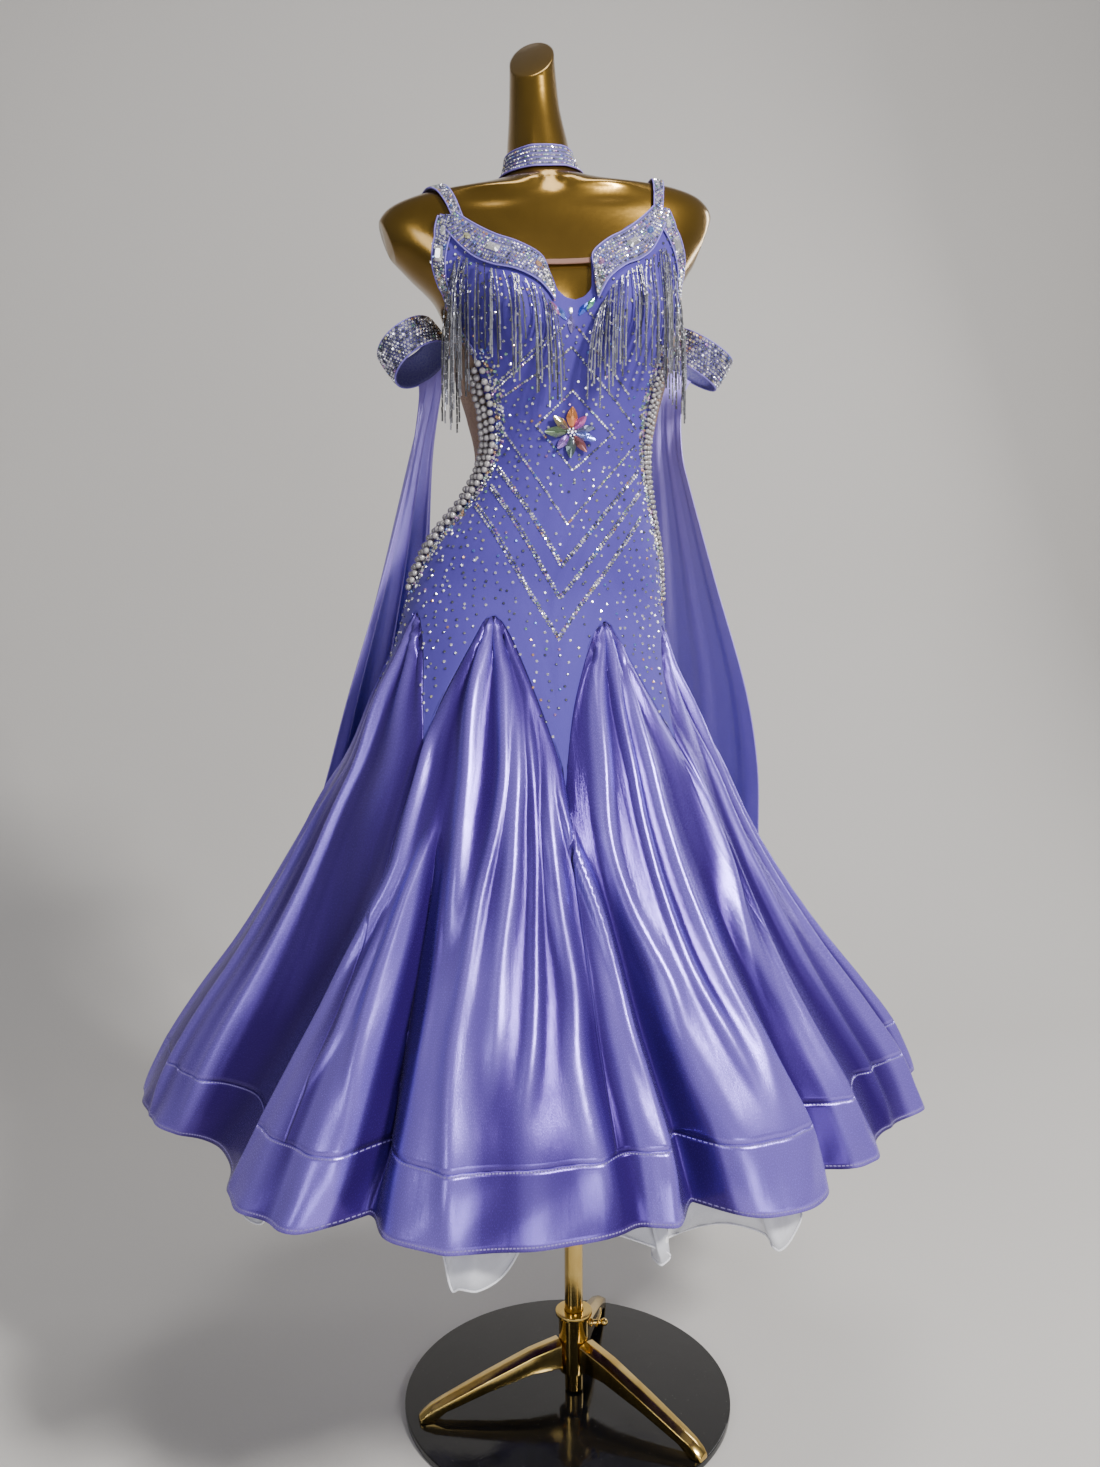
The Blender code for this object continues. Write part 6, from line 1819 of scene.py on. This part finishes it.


# The floats' satin is a lighter copy with little metal: painted light for the shade they hang in.
lightened_float_skin = satin("lilac_satin_float_lit", FLOAT_LIGHTENED_TONES, 0.14)
for side, name in ((-1, "left"), (1, "right")):
    middle, axis, back_way, out_way = band_frame(side, name)

    def rim(turn, along, out, parts=(middle, axis, back_way, out_way)):
        centre, line, behind, beside = parts
        spoke = np.cos(turn)[:, None] * behind + np.sin(turn)[:, None] * beside
        return centre + spoke * (BAND_RADIUS + out)[:, None] + np.outer(along, line)

    def band(share, down, rim=rim):
        bulge = TRIM + 0.0008 * np.sin(math.pi * down)
        return rim(math.tau * share, BAND_TALL * (down - 0.5), bulge)

    trim_piece(
        f"arm_loop_{name}", 96, 8, band, (0.245, 0.040), f"armband_{name}",
        ring=True, centre=tuple(middle), piping=False,
    )
    ring_piping(f"arm_piping_{name}", band, 96, 0.0010)
    gems = []
    for row in range(ARM_ROWS):
        share = (np.arange(ARM_STONES) + 0.5 * (row % 2)) / ARM_STONES
        down = np.full(ARM_STONES, 0.06 + 0.88 * row / (ARM_ROWS - 1.0))
        here = band(share, down)
        outs = here - (middle + np.outer(BAND_TALL * (down - 0.5), axis))
        outs /= np.linalg.norm(outs, axis=1, keepdims=True)
        gems += pave_gems(here, outs, 0.0020, 0.06)
    settle(set_gems(f"arm_stones_{name}", gems))

    def drape_spot(share, down, side=side, rim=rim):
        bottom = DRAPE[0][0]
        turn = np.radians(DRAPE_OUTER_TURN + (DRAPE_INNER_TURN - DRAPE_OUTER_TURN) * share)
        gathered = rim(turn, np.full(len(share), BAND_TALL / 2.0 + 0.0003), np.full(len(share), TRIM))
        height = gathered[:, 2] + (bottom - gathered[:, 2]) * down
        middle_x, outer_x, outer_y, inner_x, inner_y, pleat = smooth_read(DRAPE, height)
        line_x, line_y = inner_x - outer_x, inner_y - outer_y
        length = np.hypot(line_x, line_y)
        square_x, square_y = -line_y / length, line_x / length
        wave = np.sin(math.tau * DRAPE_PLEATS * share + 0.6)
        wave = (wave + 0.28 * np.sin(math.tau * 6.0 * share + 2.0 + 3.0 * down)) * (1.0 if side < 0 else 0.32)
        push = pleat * wave - DRAPE_BELLY * np.sin(math.pi * share) * length
        x = middle_x + side * (outer_x + line_x * share + square_x * push)
        hung = np.stack((x, outer_y + line_y * share + square_y * push, height), -1)
        part = rise(down / 0.14)[:, None]
        return gathered * (1.0 - part) + hung * part, wave

    def drape(share, down, spot=drape_spot):
        return spot(share, down)[0]

    # The float's painted fold shade: a light base, with painted shade in its pleats.
    def drape_painted_shade(share, down, spot=drape_spot):
        return 0.80 - 0.25 * spot(share, down)[1] * rise(down / 0.2)

    marks = {"valley": drape_painted_shade}
    made = cloth(f"satin_float_{name}", 90, 120, drape, lightened_float_skin, (0.34, 0.83), marks=marks)
    settle(made, (f"float_{name}",))


# The brooch: a flower of long foil-backed stones in prongs, sewn on inside the rhombus.
BROOCH_PLACE = (-1.0, 1.245)
# Columns: degrees from up towards the viewer's right, length, width, tint.
PETALS = (
    (0.0, 0.0125, 0.0068, (0.95, 0.36, 0.12)),
    (42.0, 0.0105, 0.0050, (0.85, 0.22, 0.60)),
    (78.0, 0.0115, 0.0048, (0.22, 0.26, 0.42)),
    (108.0, 0.0130, 0.0048, (0.25, 0.32, 0.85)),
    (142.0, 0.0125, 0.0052, (0.36, 0.14, 0.14)),
    (183.0, 0.0130, 0.0062, (0.16, 0.22, 0.22)),
    (222.0, 0.0110, 0.0050, (0.40, 0.22, 0.70)),
    (270.0, 0.0145, 0.0062, (0.16, 0.24, 0.14)),
    (308.0, 0.0125, 0.0054, (0.30, 0.27, 0.14)),
)

middle = on_dress(np.array([BROOCH_PLACE[0]]), np.array([BROOCH_PLACE[1]]), np.array([TRIM_LIFT]))[0]
out = outward(dress_point, np.array([BROOCH_PLACE[0]]), np.array([BROOCH_PLACE[1]]))[0]
side_way = np.cross(np.array((0.0, 0.0, 1.0)), out)
side_way /= np.linalg.norm(side_way)
up_way = np.cross(out, side_way)
gems = []
for degrees, long, wide, tint in PETALS:
    turn = math.radians(degrees)
    way = side_way * math.sin(turn) + up_way * math.cos(turn)
    place = middle + way * (0.004 + long) + out * 0.0022
    tilt = out - way * 0.22
    outline = ring_points(14, wide / long, 1.0, 0.50)
    gems.append((outline, long, 0.0040, place, tilt / np.linalg.norm(tilt), way, tint))
for index in range(6):
    turn = math.radians(60.0 * index + 20.0)
    way = side_way * math.sin(turn) + up_way * math.cos(turn)
    gems.append((ROUND, 0.0016, 0.0014, middle + way * 0.0042 + out * 0.0030, out, up_way, (0.7, 0.7, 0.76)))
gems.append((ROUND, 0.0024, 0.0020, middle + out * 0.0036, out, up_way, (0.8, 0.78, 0.86)))
settle(set_gems("brooch", gems), ("flower_brooch",))


sizes = {"cad": [list(map(float, corner)) for corner in CAD_BOUNDS]}
sizes["visual"] = [list(map(float, corner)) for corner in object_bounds()]
